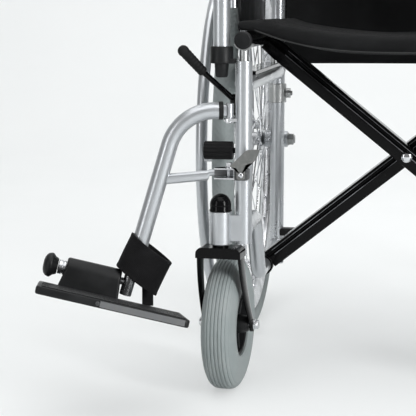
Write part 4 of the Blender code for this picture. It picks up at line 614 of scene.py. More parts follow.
@dataclass
class RearWheel:
    """Pneumatic tyre, alloy rim, crossed spokes, hub, hand rim and axle, drawn round the hub."""

    radius: float = 0.305
    plane_x: float = 0.2537
    axle_y: float = 0.412
    tyre_width: float = 0.0314
    tyre_height: float = 0.030
    tread_pitch: float = 0.0085
    tread_depth: float = 0.0011
    rim_width: float = 0.024
    rim_height: float = 0.020
    spokes: int = 36
    spoke_r: float = 0.0011
    spoke_cross: float = 62.0
    hub_width: float = 0.046
    hub_r: float = 0.013
    flange_r: float = 0.023
    flange_width: float = 0.0034
    flange_inset: float = 0.0045
    axle_r: float = 0.00635
    running_gap: float = 0.0006
    hand_rim_x: float = 0.2893
    hand_rim_r: float = 0.259
    hand_tube_r: float = 0.0083
    tabs: int = 6

    def tyre_surface(self) -> tuple[np.ndarray, np.ndarray]:
        """Round section whose crown has a centre rib between two rows of slanted blocks."""
        seat = self.radius - self.tyre_height
        middle = seat + self.tyre_height * 0.5
        angles = np.radians(np.linspace(-152, 152, 61))
        x = self.tyre_width / 2 * np.sin(angles)
        radius = np.maximum(middle + (self.radius - middle) * np.cos(angles), seat)
        on_tread = np.clip((np.radians(58) - np.abs(angles)) / np.radians(6), 0, 1)

        def depth(turn: np.ndarray, across: np.ndarray) -> np.ndarray:
            """Grooves slant outwards from a continuous rib, and two lines run round the tyre."""
            slant = turn * self.radius / self.tread_pitch + np.abs(across) / self.tread_pitch * 1.1
            slant += np.where(across > 0, 0.5, 0.0)
            groove = np.clip((np.abs(slant % 1 - 0.5) - 0.30) / 0.07, 0, 1)
            groove *= np.clip((np.abs(across) - 0.0016) / 0.0006, 0, 1)
            line = np.clip(1 - np.abs(np.abs(across) - 0.0075) / 0.0009, 0, 1)
            return np.maximum(groove, line) * self.tread_depth

        return ring_surface(np.stack([x, radius, on_tread], 1), 900, depth)

    def rim(self) -> Shape:
        """Box-section rim with rolled edges."""
        outer = self.radius - self.tyre_height - GAP
        inner = outer - self.rim_height
        half = self.rim_width / 2
        section = [(-half, outer), (-half, outer - 0.0025), (-half * 0.90, outer - 0.0040),
                   (-half * 0.80, inner + 0.0052), (-half * 0.62, inner + 0.0018), (-half * 0.34, inner)]
        return Shape().hoop(mirrored(section), 144)

    def valve(self) -> Shape:
        """Rubber valve stem that stands inwards from the rim."""
        top = self.radius - self.tyre_height - self.rim_height
        profile = [(top + 0.002, 0.0040), (top - 0.004, 0.0038), (top - 0.018, 0.0030), (top - 0.019, 0.0036),
                   (top - 0.028, 0.0036), (top - 0.030, 0.0026)]
        stem = Shape().turned(profile, Axis.Z, sides=16)
        return stem.moved(Matrix.Rotation(math.radians(5), 4, "X"))

    def hub(self) -> Shape:
        """Polished shell with a waist, two flanges and bearing lips."""
        half = self.hub_width / 2
        face = half - self.flange_inset + self.flange_width / 2
        back = face - self.flange_width
        bore = self.axle_r + self.running_gap
        section = [(-half, bore), (-half, self.hub_r * 0.72), (-half + 0.0012, self.hub_r * 0.80),
                   (-face - 0.0008, self.hub_r), (-face, self.flange_r - 0.0008),
                   (-face + 0.0008, self.flange_r), (-back - 0.0008, self.flange_r),
                   (-back, self.flange_r - 0.0008), (-back + 0.001, self.hub_r),
                   (-back + 0.004, self.hub_r * 0.82)]
        return Shape().hoop(mirrored(section), 64)

    def wires(self) -> Shape:
        """Crossed spokes, each with its bent head at the flange and a nipple at the rim."""
        wires = Shape()
        end_r = self.radius - self.tyre_height - self.rim_height
        flange_x = self.hub_width / 2 - self.flange_inset
        for flange in (-1, 1):
            for lead in (-1, 1):
                for i in range(self.spokes // 4):
                    at_rim = TAU * (4 * i + (flange + 1) // 2 + lead + 1) / self.spokes
                    at_hub = at_rim + lead * math.radians(self.spoke_cross)
                    reach = self.flange_r - 2 * self.spoke_r
                    x = flange * (flange_x + lead * self.flange_width * 0.6)
                    start = Vector((x, reach * math.cos(at_hub), reach * math.sin(at_hub)))
                    end = Vector((0, (end_r + 0.004) * math.cos(at_rim), (end_r + 0.004) * math.sin(at_rim)))
                    aim = (end - start).normalized()
                    wires.tube([start, end], self.spoke_r, 8)
                    wires.tube([end - aim * 0.016, end - aim * 0.002], 0.0019, 8)
                    head = start - Vector((flange * lead * 0.0005, 0, 0))
                    wires.tube([head, head + Vector((flange * lead * 0.0016, 0, 0))], 0.0018, 8)
        return wires

    def hand_rim_tabs(self) -> Shape:
        """Flat tabs from the wheel's rim out to the hand rim, each with a small bolt."""
        tabs = Shape()
        offset = self.hand_rim_x - self.plane_x
        low = self.hand_rim_r + self.hand_tube_r * 0.45
        outline = round_outline((self.rim_width / 2 - 0.0010, -0.008), (offset, 0.008), 0.0018, 3)
        middle = (self.rim_width / 2 + offset) / 2 - 0.002
        for i in range(self.tabs):
            tab = Shape().plate(outline, low, low + 0.003, Axis.Z)
            tab.bolt((middle, 0, low), (0, 0, -1), 0.007, 0.0024, hexed=True)
            tabs.join(tab.moved(Matrix.Rotation(TAU * (i + 0.5) / self.tabs, 4, "X")))
        return tabs

    def axle(self, frame_face: float, head_face: float) -> Shape:
        """Axle with a domed cap outboard of the hub and a lock nut inboard of the frame."""
        nut = frame_face - GAP
        axle = Shape().rod(nut - 0.011, head_face + 0.001, self.axle_r)
        axle.turned([(head_face, 0.009), (head_face + 0.0016, 0.009), (head_face + 0.003, 0.0076),
                     (head_face + 0.004, 0.0048)], Axis.X)
        axle.rod(nut - 0.0012, nut, 0.0102)
        axle.turned([(nut - 0.0098, 0.0072), (nut - 0.0085, 0.0096), (nut - 0.0012, 0.0098)], Axis.X, sides=6)
        return axle

    def build(self, side: Side, frame_face: float) -> None:
        """Adds the wheel's pieces.

        Args:
            side: Side of the chair.
            frame_face: Inboard end of the frame's axle sleeve, as drawn for the side.
        """
        at = Matrix.Translation((self.plane_x, self.axle_y, self.radius))
        body = "rear_wheel"
        side.add_grid("tyre", self.tyre_surface(), Look.TYRE, body, ["rear_tyre"], at)
        side.add("rim", self.rim(), Look.ALLOY, body, ["rear_wheel"], at)
        side.add("hub", self.hub(), Look.ALLOY, body, (), at)
        side.add("spokes", self.wires(), Look.CHROME, body, (), at)
        side.add("valve", self.valve(), Look.RUBBER, body, (), at)
        turn = TAU * np.arange(24) / 24
        section = np.stack([self.hand_rim_x - self.plane_x + self.hand_tube_r * np.cos(turn),
                            self.hand_rim_r + self.hand_tube_r * np.sin(turn)], 1)
        side.add_grid("push_rim", ring_surface(section, 192), Look.PAINT, body, ["hand_rim"], at)
        side.add("push_rim_tabs", self.hand_rim_tabs(), Look.ALLOY, body, (), at, bevel=0.0004)
        axle = self.axle(frame_face - self.plane_x, self.hub_width / 2 + 0.0008)
        side.add("axle", axle, Look.ZINC, "frame", ["rear_axle"], at)


# Caster


@dataclass
class Caster:
    """Solid grey tyre on a moulded core, glossy fork, axle and bearing cap, drawn round the swivel axis."""

    x: float = 0.2367
    y: float = -0.0074
    turn: float = 4.6
    trail: float = 0.048
    radius: float = 0.089
    width: float = 0.045
    core_r: float = 0.0435
    core_width: float = 0.034
    hub_r: float = 0.013
    axle_r: float = 0.004
    axle_width: float = 0.070
    leg: float = 0.0056
    leg_depth: float = 0.020
    crown_top: float = 0.203
    crown: float = 0.014
    crown_width: float = 0.0605
    crown_depth: float = 0.034
    shoulder_r: float = 0.0085
    housing_foot: float = 0.206
    housing_top: float = 0.250
    housing_r: float = 0.015
    cap_height: float = 0.024
    ribs: int = 6

    def tyre_section(self) -> np.ndarray:
        """Rounded section with a flat crown and fine grooves round it."""
        half = self.width / 2
        across = np.linspace(-1, 1, 181)
        x = half * np.sin(across * math.pi / 2 * 0.985)
        foot = self.core_r
        round_top = np.clip(1 - np.abs(x / half) ** 4.2, 0, 1) ** 0.62
        radius = foot + (self.radius - foot) * (0.36 + 0.64 * round_top)
        low = np.abs(across) > 0.965
        radius = np.where(low, np.minimum(radius, foot + (self.radius - foot) * 0.40), radius)
        for place, depth, width in ((0.0, 0.0016, 0.0012), (0.0049, 0.0016, 0.0012), (0.0096, 0.0015, 0.0011),
                                    (0.0140, 0.0012, 0.0010), (0.0176, 0.0007, 0.0009)):
            radius = radius - depth * np.clip(1 - np.abs(np.abs(x) - place) / width, 0, 1) ** 0.7
        ends = np.array([[half * 0.96, foot + 0.004], [half * 0.84, foot], [-half * 0.84, foot],
                         [-half * 0.96, foot + 0.004]])
        return np.vstack([np.stack([x, radius], 1), ends])

    def core(self) -> Shape:
        """Moulded centre: bearing tube, dished web, rim with a lip, and radial ribs."""
        half = self.axle_width / 2 - self.leg - 0.0008
        rim = self.core_width / 2
        outer = self.core_r - GAP
        inner = outer - 0.005
        bore = self.axle_r + 0.0006
        section = [(-half, bore), (-half, self.hub_r * 0.7), (-half + 0.002, self.hub_r * 0.82),
                   (-rim * 0.9, self.hub_r), (-0.006, self.hub_r + 0.001), (-0.005, self.hub_r + 0.003),
                   (-0.005, inner - 0.002), (-0.006, inner), (-rim + 0.001, inner + 0.0005),
                   (-rim, inner + 0.0015), (-rim, outer - 0.001), (-rim + 0.001, outer)]
        core = Shape().hoop(mirrored(section), 72)
        for i in range(self.ribs):
            rib = Shape().plate(round_outline((-rim * 0.78, -0.0018), (rim * 0.78, 0.0018), 0.0012, 2),
                                self.hub_r - 0.002, inner + 0.002, Axis.Z)
            core.join(rib.moved(Matrix.Rotation(TAU * (i + 0.25) / self.ribs, 4, "X")))
        return core

    def fork(self) -> Shape:
        """Pressed fork: crown with round shoulders, swept legs of rounded section, stem and washer.

        Down a leg, with share running from 0 at the shoulder to 1 at the axle, the middle trails by
        trail * share^1.7 and the depth narrows with share^0.7. The leg's end is round.
        """
        foot, half, corner = self.crown_top - self.crown, self.crown_width / 2, self.shoulder_r
        top, end, depth = self.crown_top - corner, self.leg_depth / 2, self.crown_depth / 2
        turn = np.linspace(0, math.pi / 2, 8)
        arch = mirrored(np.stack([half - corner + corner * np.cos(turn), top + corner * np.sin(turn)], 1))
        fork = Shape().plate(np.vstack([arch, (-half, foot), (half, foot)]), -depth, depth, Axis.Y)
        fork.rod(foot, self.housing_top - 0.0056, 0.006, Axis.Z)
        fork.rod(self.crown_top - 0.004, self.housing_foot - 0.0006, 0.011, Axis.Z)
        below = end * np.sin(np.linspace(0.15, math.pi / 2 * 0.97, 7))
        z = np.concatenate([np.linspace(top, self.radius, 25), self.radius - below])[:, None]
        share = np.minimum(1.0, (top - z) / (top - self.radius))
        length = np.sqrt(end ** 2 - np.maximum(self.radius - z, 0) ** 2)
        length = np.where(z < self.radius, length, depth + (end - depth) * share ** 0.7)
        spread = np.clip((foot - z) / (foot - self.radius), 0, 1) * (self.axle_width - self.crown_width)
        turn = np.linspace(0, TAU, 28, endpoint=False)
        across = self.leg / 2 * np.sign(np.cos(turn)) * np.abs(np.cos(turn)) ** 0.9
        for hand in (-1, 1):
            middle = hand * ((self.crown_width + spread) / 2 - self.leg / 2)
            fork.loft(Axis.X.place(middle + across, self.trail * share ** 1.7 + length * np.sin(turn), z))
        return fork

    def cap(self) -> Shape:
        """Glossy domed cap with a rolled foot."""
        foot, radius = self.housing_top + GAP, self.housing_r
        profile = [(foot, radius), (foot + 0.0015, radius), (foot + 0.003, radius * 0.94)]
        turn = np.linspace(0, math.pi / 2, 11)
        rise = foot + self.cap_height * (0.32 + 0.63 * np.sin(turn))
        dome = np.stack([rise, radius * 0.94 * np.cos(turn) + 0.0002], 1)
        return Shape().turned(np.vstack([profile, dome]), Axis.Z, (self.x, self.y, 0), 48)

    def axle(self) -> Shape:
        """Axle bolt: domed head outboard and lock nut inboard, each on a washer."""
        face = self.axle_width / 2 + GAP
        axle = Shape().rod(-face - 0.006, face + 0.002, self.axle_r)
        axle.bolt((face, 0, 0), (1, 0, 0), 0.014, 0.0065)
        return axle.bolt((-face, 0, 0), (-1, 0, 0), 0.0125, 0.0068, hexed=True)

    def build(self, side: Side) -> None:
        """Adds the caster's pieces."""
        swivel = Matrix.Translation((self.x, self.y, 0)) @ Matrix.Rotation(math.radians(self.turn), 4, "Z")
        hub = swivel @ Matrix.Translation((0, self.trail, self.radius))
        rubber = ring_surface(self.tyre_section(), 240)
        side.add_grid("caster_rubber", rubber, Look.TYRE, "caster_wheel", ["caster_tyre"], hub)
        side.add("caster_centre", self.core(), Look.PLASTIC, "caster_wheel", ["caster_core"], hub,
                 bevel=0.0004)
        side.add("fork", self.fork(), Look.ENAMEL, "caster", ["caster_fork"], swivel, bevel=0.0009)
        side.add("caster_bolt", self.axle(), Look.CHROME, "caster", ["caster_axle"], hub, angle=30)
        side.add("bearing_cap", self.cap(), Look.ENAMEL, "frame", ["caster_cap"], angle=50)


# Side frame


@dataclass
class SideFrame:
    """Bent steel tubes, and the brackets, bearings, bolts and grip that they carry."""

    tube_r: float = 0.0111
    half_width: float = 0.2075
    spacing: float = 0.393
    post_foot: float = 0.207
    post_top: float = 0.445
    cane_foot: float = 0.107
    cane_bend: float = 0.600
    cane_lean: float = 7.0
    handle_z: float = 0.900
    handle_length: float = 0.148
    handle_bend: float = 0.040
    upper_rail: float = 0.4147
    front_rail: float = 0.226
    lower_rail: float = 0.137
    drop_start: float = 0.106
    drop_end: float = 0.160
    rail_bend: float = 0.024
    sleeve_length: float = 0.030
    sleeve_r: float = 0.013
    latch_z: float = 0.300
    latch_proud: float = 0.014
    pin_r: float = 0.003
    pivot_x: float = 0.2263
    lug_r: float = 0.0075
    lug: tuple[float, float] = (0.3670, 0.3712)
    hinge_pin_top: float = 0.3872
    channel_half: float = 0.0053
    channel_wall: float = 0.002
    channel_corner: tuple[float, float] = (0.2440, -0.0175)
    seat_rail: float = 0.472
    rear_saddle_y: float = 0.345
    socket_x: float = 0.2367
    socket_y: float = 0.352
    socket_z: float = 0.634
    grip_length: float = 0.106
    grip_ribs: int = 13
    collar_z: float = 0.380
    collar_r: float = 0.01375
    block_foot: float = 0.152
    block_top: float = 0.164

    @property
    def cane_top_y(self) -> float:
        """Where the leaning cane reaches the handle's height."""
        return self.spacing + (self.handle_z - self.cane_bend) * math.tan(math.radians(self.cane_lean))

    @property
    def sleeve_face(self) -> float:
        """Inboard end of the axle sleeve."""
        return self.half_width - self.sleeve_length / 2

    def tubes(self) -> Shape:
        """Front post, cane with its handle, upper rail and stepped lower rail."""
        x = self.half_width
        handle_end = self.cane_top_y + self.handle_length
        cane = [(x, self.spacing, self.cane_foot), (x, self.spacing, self.cane_bend),
                (x, self.cane_top_y, self.handle_z), (x, handle_end, self.handle_z)]
        rail = [(x, 0, self.front_rail), (x, self.drop_start, self.front_rail),
                (x, self.drop_end, self.lower_rail), (x, self.spacing, self.lower_rail)]
        tubes = Shape().tube([(x, 0, self.post_foot), (x, 0, self.post_top)], self.tube_r)
        tubes.tube(arc_path(cane, self.handle_bend), self.tube_r)
        tubes.tube([(x, 0, self.upper_rail), (x, self.spacing, self.upper_rail)], self.tube_r)
        return tubes.tube(arc_path(rail, self.rail_bend), self.tube_r)

    def welds(self) -> Shape:
        """A rounded bead where each tube meets a post."""
        beads = Shape()
        turn = np.linspace(0, TAU, 33)
        a, b = self.tube_r * np.cos(turn), self.tube_r * np.sin(turn)
        out = np.sqrt(np.maximum(self.tube_r ** 2 - a * a, 0)) * 0.93 + 0.0007
        size = 1 + 0.05 * np.sin(turn * 9)
        for y, z, way in ((0, self.upper_rail, 1), (self.spacing, self.upper_rail, -1),
                          (0, self.front_rail, 1), (self.spacing, self.lower_rail, -1)):
            beads.tube(Axis.X.place(self.half_width + a * size, y + way * out, z + b * size), 0.0013, 8)
        return beads

    def bearings(self, axle_y: float, wheel_r: float, axle_end: float, caster: Caster) -> Shape:
        """Axle sleeve, and caster housing with its gusset."""
        soft, low, high = 0.001, caster.housing_foot, caster.housing_top
        made = Shape().rod(self.sleeve_face, axle_end, self.sleeve_r, Axis.X, (0, axle_y, wheel_r), 40, soft)
        made.rod(low, high, caster.housing_r, Axis.Z, (caster.x, caster.y, 0), 48, soft)
        return made.box((self.half_width, caster.y - 0.005, low + 0.005),
                        (caster.x, caster.y + 0.005, high - 0.005))

    def hanger_mounts(self) -> Shape:
        """Lug and upright pin for the hanger's upper eye, and the open channel that pins its strut."""
        x, reach = self.half_width, self.lug_r
        corner_x, front = self.channel_corner
        made = Shape()

        def plate(quarters: int, corners: Sequence, low: float, high: float) -> None:
            """A level plate from the post, round at the pin for so many quarter turns."""
            arc = [(self.pivot_x + reach * math.sin(a), reach * math.cos(a))
                   for a in np.linspace(0, quarters * math.pi / 2, quarters * 8 + 1)]
            made.plate([(x, reach), *arc, *corners], low, high, Axis.Z)

        plate(2, [(x, -reach)], *self.lug)
        made.rod(self.lug[0] + 0.001, self.hinge_pin_top, self.pin_r, Axis.Z, (self.pivot_x, 0, 0), 20)
        made.bolt((self.pivot_x, 0, self.lug[0]), (0, 0, -1), 0.0095, 0.0035)
        inside, wall = self.channel_half, self.channel_wall
        for low in (self.latch_z - inside - wall, self.latch_z + inside):
            plate(1, [(corner_x, -reach / 2), (corner_x, front), (x, front)], low, low + wall)
        end = inside + 0.001
        made.rod(self.latch_z - end, self.latch_z + end, self.pin_r, Axis.Z, (self.pivot_x, 0, 0), 20)
        top = (self.pivot_x, 0, self.latch_z + inside + wall)
        return made.bolt(top, (0, 0, 1), 0.0085, 0.0058, hexed=True)

    def saddle(self, y: float, foot: float) -> Shape:
        """A U-shaped cradle for the seat rail, on a short stem."""
        inner = self.tube_r + 0.0006
        outer = inner + 0.0018
        turn = np.linspace(math.pi, TAU, 17)
        arc = np.stack([np.cos(turn), np.sin(turn)], 1)
        outline = np.vstack([inner * arc, outer * arc[::-1]])
        outline = outline[outline[:, 1] <= -0.004] + (self.half_width, self.seat_rail)
        made = Shape().plate(outline, y - 0.008, y + 0.008, Axis.Y)
        return made.rod(foot, self.seat_rail - outer + 0.001, 0.006, Axis.Z, (self.half_width, y, 0))

    def latch_block(self) -> tuple[Shape, Shape]:
        """Pressed latch bracket on the post, and its headed pin."""
        x, face = self.half_width, -self.tube_r - self.latch_proud
        half = self.channel_half + self.channel_wall
        outline = round_outline((x - 0.009, self.latch_z - half), (x + 0.009, self.latch_z + half), 0.0020, 3)
        made = Shape().plate(outline, face, -self.tube_r * 0.6, Axis.Y)
        head = face - 0.003 - 2 * GAP
        pin = Shape().rod(head, -0.002, self.pin_r, Axis.Y, (x, 0, self.latch_z), 20)
        return made, pin.bolt((x, head, self.latch_z), (0, -1, 0), 0.0072, 0.0022)

    def fittings(self) -> Shape:
        """Collar on the cane, and its through bolt with a spacer and a nut."""
        x, y, z, radius = self.half_width, self.spacing, self.collar_z, self.collar_r
        profile = [(z - 0.015, 0.0127), (z - 0.014, radius), (z + 0.014, radius), (z + 0.015, 0.0127)]
        made = Shape().turned(profile, Axis.Z, (x, y, 0), 40)
        made.rod(x - self.tube_r - 0.0085, x, 0.0032, Axis.X, (0, y, z), 20)
        made.turned([(x - 0.0205, 0.0075), (x - 0.0195, 0.0078), (x - 0.0130, 0.0078)], Axis.X, (0, y, z), 24)
        return made.bolt((x - self.tube_r - 0.0078, y, z), (-1, 0, 0), 0.0082, 0.0044, hexed=True)

    def foot_block(self) -> Shape:
        """Moulded block on the cane's foot with a boss for the anti-tip tube's button."""
        x, y = self.half_width, self.spacing
        outline = round_outline((y - 0.010, self.block_foot), (y + 0.010, self.block_top), 0.003, 4)
        made = Shape().plate(outline, x - self.tube_r - 0.022, x - self.tube_r * 0.5, Axis.X)
        foot = self.cane_foot
        plug = [(foot - 0.0002, 0.0098), (foot + 0.001, 0.0111), (foot + 0.005, 0.0113)]
        return made.turned(plug, Axis.Z, (x, y, 0))

    def rear_socket(self) -> Shape:
        """Socket tube on the cane for the armrest's rear leg, with its welded arm."""
        foot, top = self.socket_z - 0.008, self.socket_z + 0.018
        bore = self.tube_r + 0.0007
        section = [(foot, 0.0142), (foot + 0.001, 0.015), (top - 0.001, 0.015), (top, 0.0144), (top, bore),
                   (self.socket_z - GAP, bore), (self.socket_z - GAP, 0.001), (foot, 0.001)]
        made = Shape().hoop(section, 40).moved(upright(self.socket_x, self.socket_y))
        half = self.tube_r / 2
        arm = [(self.half_width - half, self.spacing), (self.half_width + half, self.spacing),
               (self.socket_x + half * 0.6, self.socket_y + 0.012),
               (self.socket_x - half * 1.4, self.socket_y + 0.011)]
        return made.plate(arm, foot + 0.001, top - 0.001, Axis.Z)

    def grip(self) -> Shape:
        """Soft push grip with finger ribs, a flange and a round end."""
        start = self.cane_top_y + self.handle_length - self.grip_length
        end = self.cane_top_y + self.handle_length + 0.003
        bore = self.tube_r + 0.0008
        pitch = (self.grip_length - 0.020) / self.grip_ribs
        steps = np.arange(self.grip_ribs * 8)
        swell = 0.0030 + 0.0010 * np.abs(np.sin(math.pi * steps / 8)) ** 0.6
        profile = np.vstack([(start, bore + 0.0042), (start + 0.0015, bore + 0.0047),
                             (start + 0.005, bore + 0.0047),
                             np.stack([start + 0.008 + steps * pitch / 8, bore + swell], 1),
                             (end - 0.006, bore + 0.0035), (end - 0.002, bore + 0.0022), (end, bore - 0.002),
                             (end, 0.003)])
        return Shape().turned(profile, Axis.Y, (self.half_width, 0, self.handle_z), 40)

    def build(self, side: Side, wheel: RearWheel, caster: Caster) -> None:
        """Adds the frame's pieces."""
        side.add("tubes", self.tubes(), Look.PAINT, "frame", ["side_frame"])
        side.add("welds", self.welds(), Look.PAINT, "frame", angle=60)
        axle_end = wheel.plane_x - wheel.hub_width / 2 - 0.0008
        bearings = self.bearings(wheel.axle_y, wheel.radius, axle_end, caster)
        side.add("bearings", bearings, Look.PAINT, "frame", bevel=0.0004)
        side.add("hanger_mounts", self.hanger_mounts(), Look.CHROME, "frame", bevel=0.0003)
        saddles = self.saddle(0, self.post_top - 0.003).join(self.saddle(self.rear_saddle_y, self.upper_rail))
        side.add("saddles", saddles, Look.ZINC, "frame", bevel=0.0003)
        block, pin = self.latch_block()
        side.add("latch_block", block, Look.GRIT, "frame", bevel=0.0005)
        side.add("latch_pin", pin, Look.CHROME, "frame", bevel=0.0005)
        side.add("fittings", self.fittings(), Look.ZINC, "frame", angle=30)
        side.add("foot_block", self.foot_block(), Look.PLASTIC, "frame", bevel=0.0008)
        side.add("rear_socket", self.rear_socket(), Look.PAINT, "frame", bevel=0.0003)
        side.add("handle_grip", self.grip(), Look.RUBBER, "frame", ["push_grip"])


# Armrest


@dataclass
class Armrest:
    """Lift-out armrest: bent tube with a stay, padded top, moulded side panel, and its front socket."""

    x: float = 0.2367
    tube_r: float = 0.0111
    top: float = 0.700
    back_y: float = 0.352
    bend: float = 0.040
    front_foot: float = 0.446
    rear_foot: float = 0.634
    stay_y: float = 0.070
    stay_r: float = 0.0065
    stay_foot: float = 0.513
    panel: tuple[float, float, float, float] = (0.062, 0.484, 0.334, 0.70555)
    panel_thickness: float = 0.005
    panel_corner: float = 0.030
    pad_length: float = 0.290
    pad_width: float = 0.050
    pad_height: float = 0.027
    pad_corner: float = 0.0215
    screws: tuple[tuple[float, float], ...] = ((0.070, 0.525), (0.070, 0.600), (0.30, 0.689))
    socket_top: float = 0.464
    socket_foot: float = 0.442
    stub_foot: float = 0.424

    @property
    def panel_face(self) -> float:
        """Outer face of the side panel."""
        return self.x - self.tube_r - GAP

    def tube(self) -> Shape:
        """Armrest tube and the stay that the panel is screwed to."""
        corners = [(self.x, 0, self.front_foot), (self.x, 0, self.top), (self.x, self.back_y, self.top),
                   (self.x, self.back_y, self.rear_foot)]
        stay_x = self.panel_face + GAP + self.stay_r
        made = Shape().tube(arc_path(corners, self.bend, 14), self.tube_r)
        return made.rod(self.stay_foot, self.top, self.stay_r, Axis.Z, (stay_x, self.stay_y, 0), 24)

    def pad(self) -> Shape:
        """Crowned vinyl pad that pulls in at its foot, with a seam round it."""
        foot = self.top + self.tube_r + GAP
        middle = np.array((self.x, (self.back_y + self.bend) / 2))
        half = np.array((self.pad_width, self.pad_length)) / 2
        rings = []
        for share, inset in ((0, 0.0060), (0.03, 0.0030), (0.16, 0.0014), (0.22, 0.0016), (0.25, 0.0026),
                             (0.28, 0.0016), (0.34, 0.0004), (0.5, 0.0), (0.66, 0.0010), (0.80, 0.0034),
                             (0.90, 0.0070), (0.97, 0.0115), (1.0, 0.0165)):
            corner = max(self.pad_corner - inset, 0.004)
            outline = round_outline(middle - half + inset, middle + half - inset, corner, 8)
            rings.append(Axis.Z.place(foot + share * self.pad_height, *outline.T))
        return Shape().loft(rings)

    def guard(self) -> Shape:
        """Side panel with a rolled edge and two pressed channels on its inner face."""
        low, high = np.array(self.panel).reshape(2, 2)
        half, corner = self.panel_thickness / 2, self.panel_corner
        middle = self.panel_face - half
        rings = []
        for x, inset in ((-1, 0.002), (-0.8, 0.0008), (-0.3, 0), (0.3, 0), (0.8, 0.0008), (1, 0.002)):
            outline = round_outline(low + inset, high - inset, corner - inset, 8)
            rings.append(Axis.X.place(middle + half * x, *outline.T))
        made = Shape().loft(rings)
        for share in (0.33, 0.67):
            z = low[1] + share * (high[1] - low[1])
            channel = round_outline((low[0] + corner, z - 0.004), (high[0] - corner, z + 0.004), 0.0039, 6)
            made.plate(channel, middle - half - 0.0009, middle - half + 0.0002)
        return made

    def socket(self, post_x: float) -> Shape:
        """Black socket cup with a tapered stub and a lobe round towards the post."""
        bore = self.tube_r + 0.0007
        section = [(self.stub_foot, 0.001), (self.stub_foot, 0.0070), (self.stub_foot + 0.002, 0.0080),
                   (self.socket_foot, 0.0095), (self.socket_foot, 0.0142), (self.socket_foot + 0.001, 0.0150),
                   (self.socket_top - 0.0012, 0.0150), (self.socket_top, 0.0142), (self.socket_top, bore),
                   (self.front_foot - GAP, bore), (self.front_foot - GAP, 0.001)]
        cup = Shape().hoop(section, 48).moved(upright(self.x))
        half = self.tube_r * 0.9
        return cup.box((post_x + GAP, -half, self.socket_foot),
                       (self.x - 0.011, half, self.socket_foot + 0.006))

    def build(self, side: Side, post_x: float) -> None:
        """Adds the armrest's pieces."""
        side.add("arm_tube", self.tube(), Look.PAINT, "armrest", ["armrest_frame"])
        pad = side.add("arm_cushion", self.pad(), Look.VINYL, "armrest", ["arm_pad"], angle=60)
        side.add("guard", self.guard(), Look.PLASTIC, "armrest", ["side_panel"])
        screws = Shape()
        for y, z in self.screws:
            screws.bolt((self.panel_face - self.panel_thickness, y, z), (-1, 0, 0), 0.008, 0.0016)
        side.add("panel_screws", screws, Look.CHROME, "armrest")
        side.add("arm_cup", self.socket(post_x), Look.PLASTIC, "frame", ["arm_socket"], bevel=0.0006)


# Brake


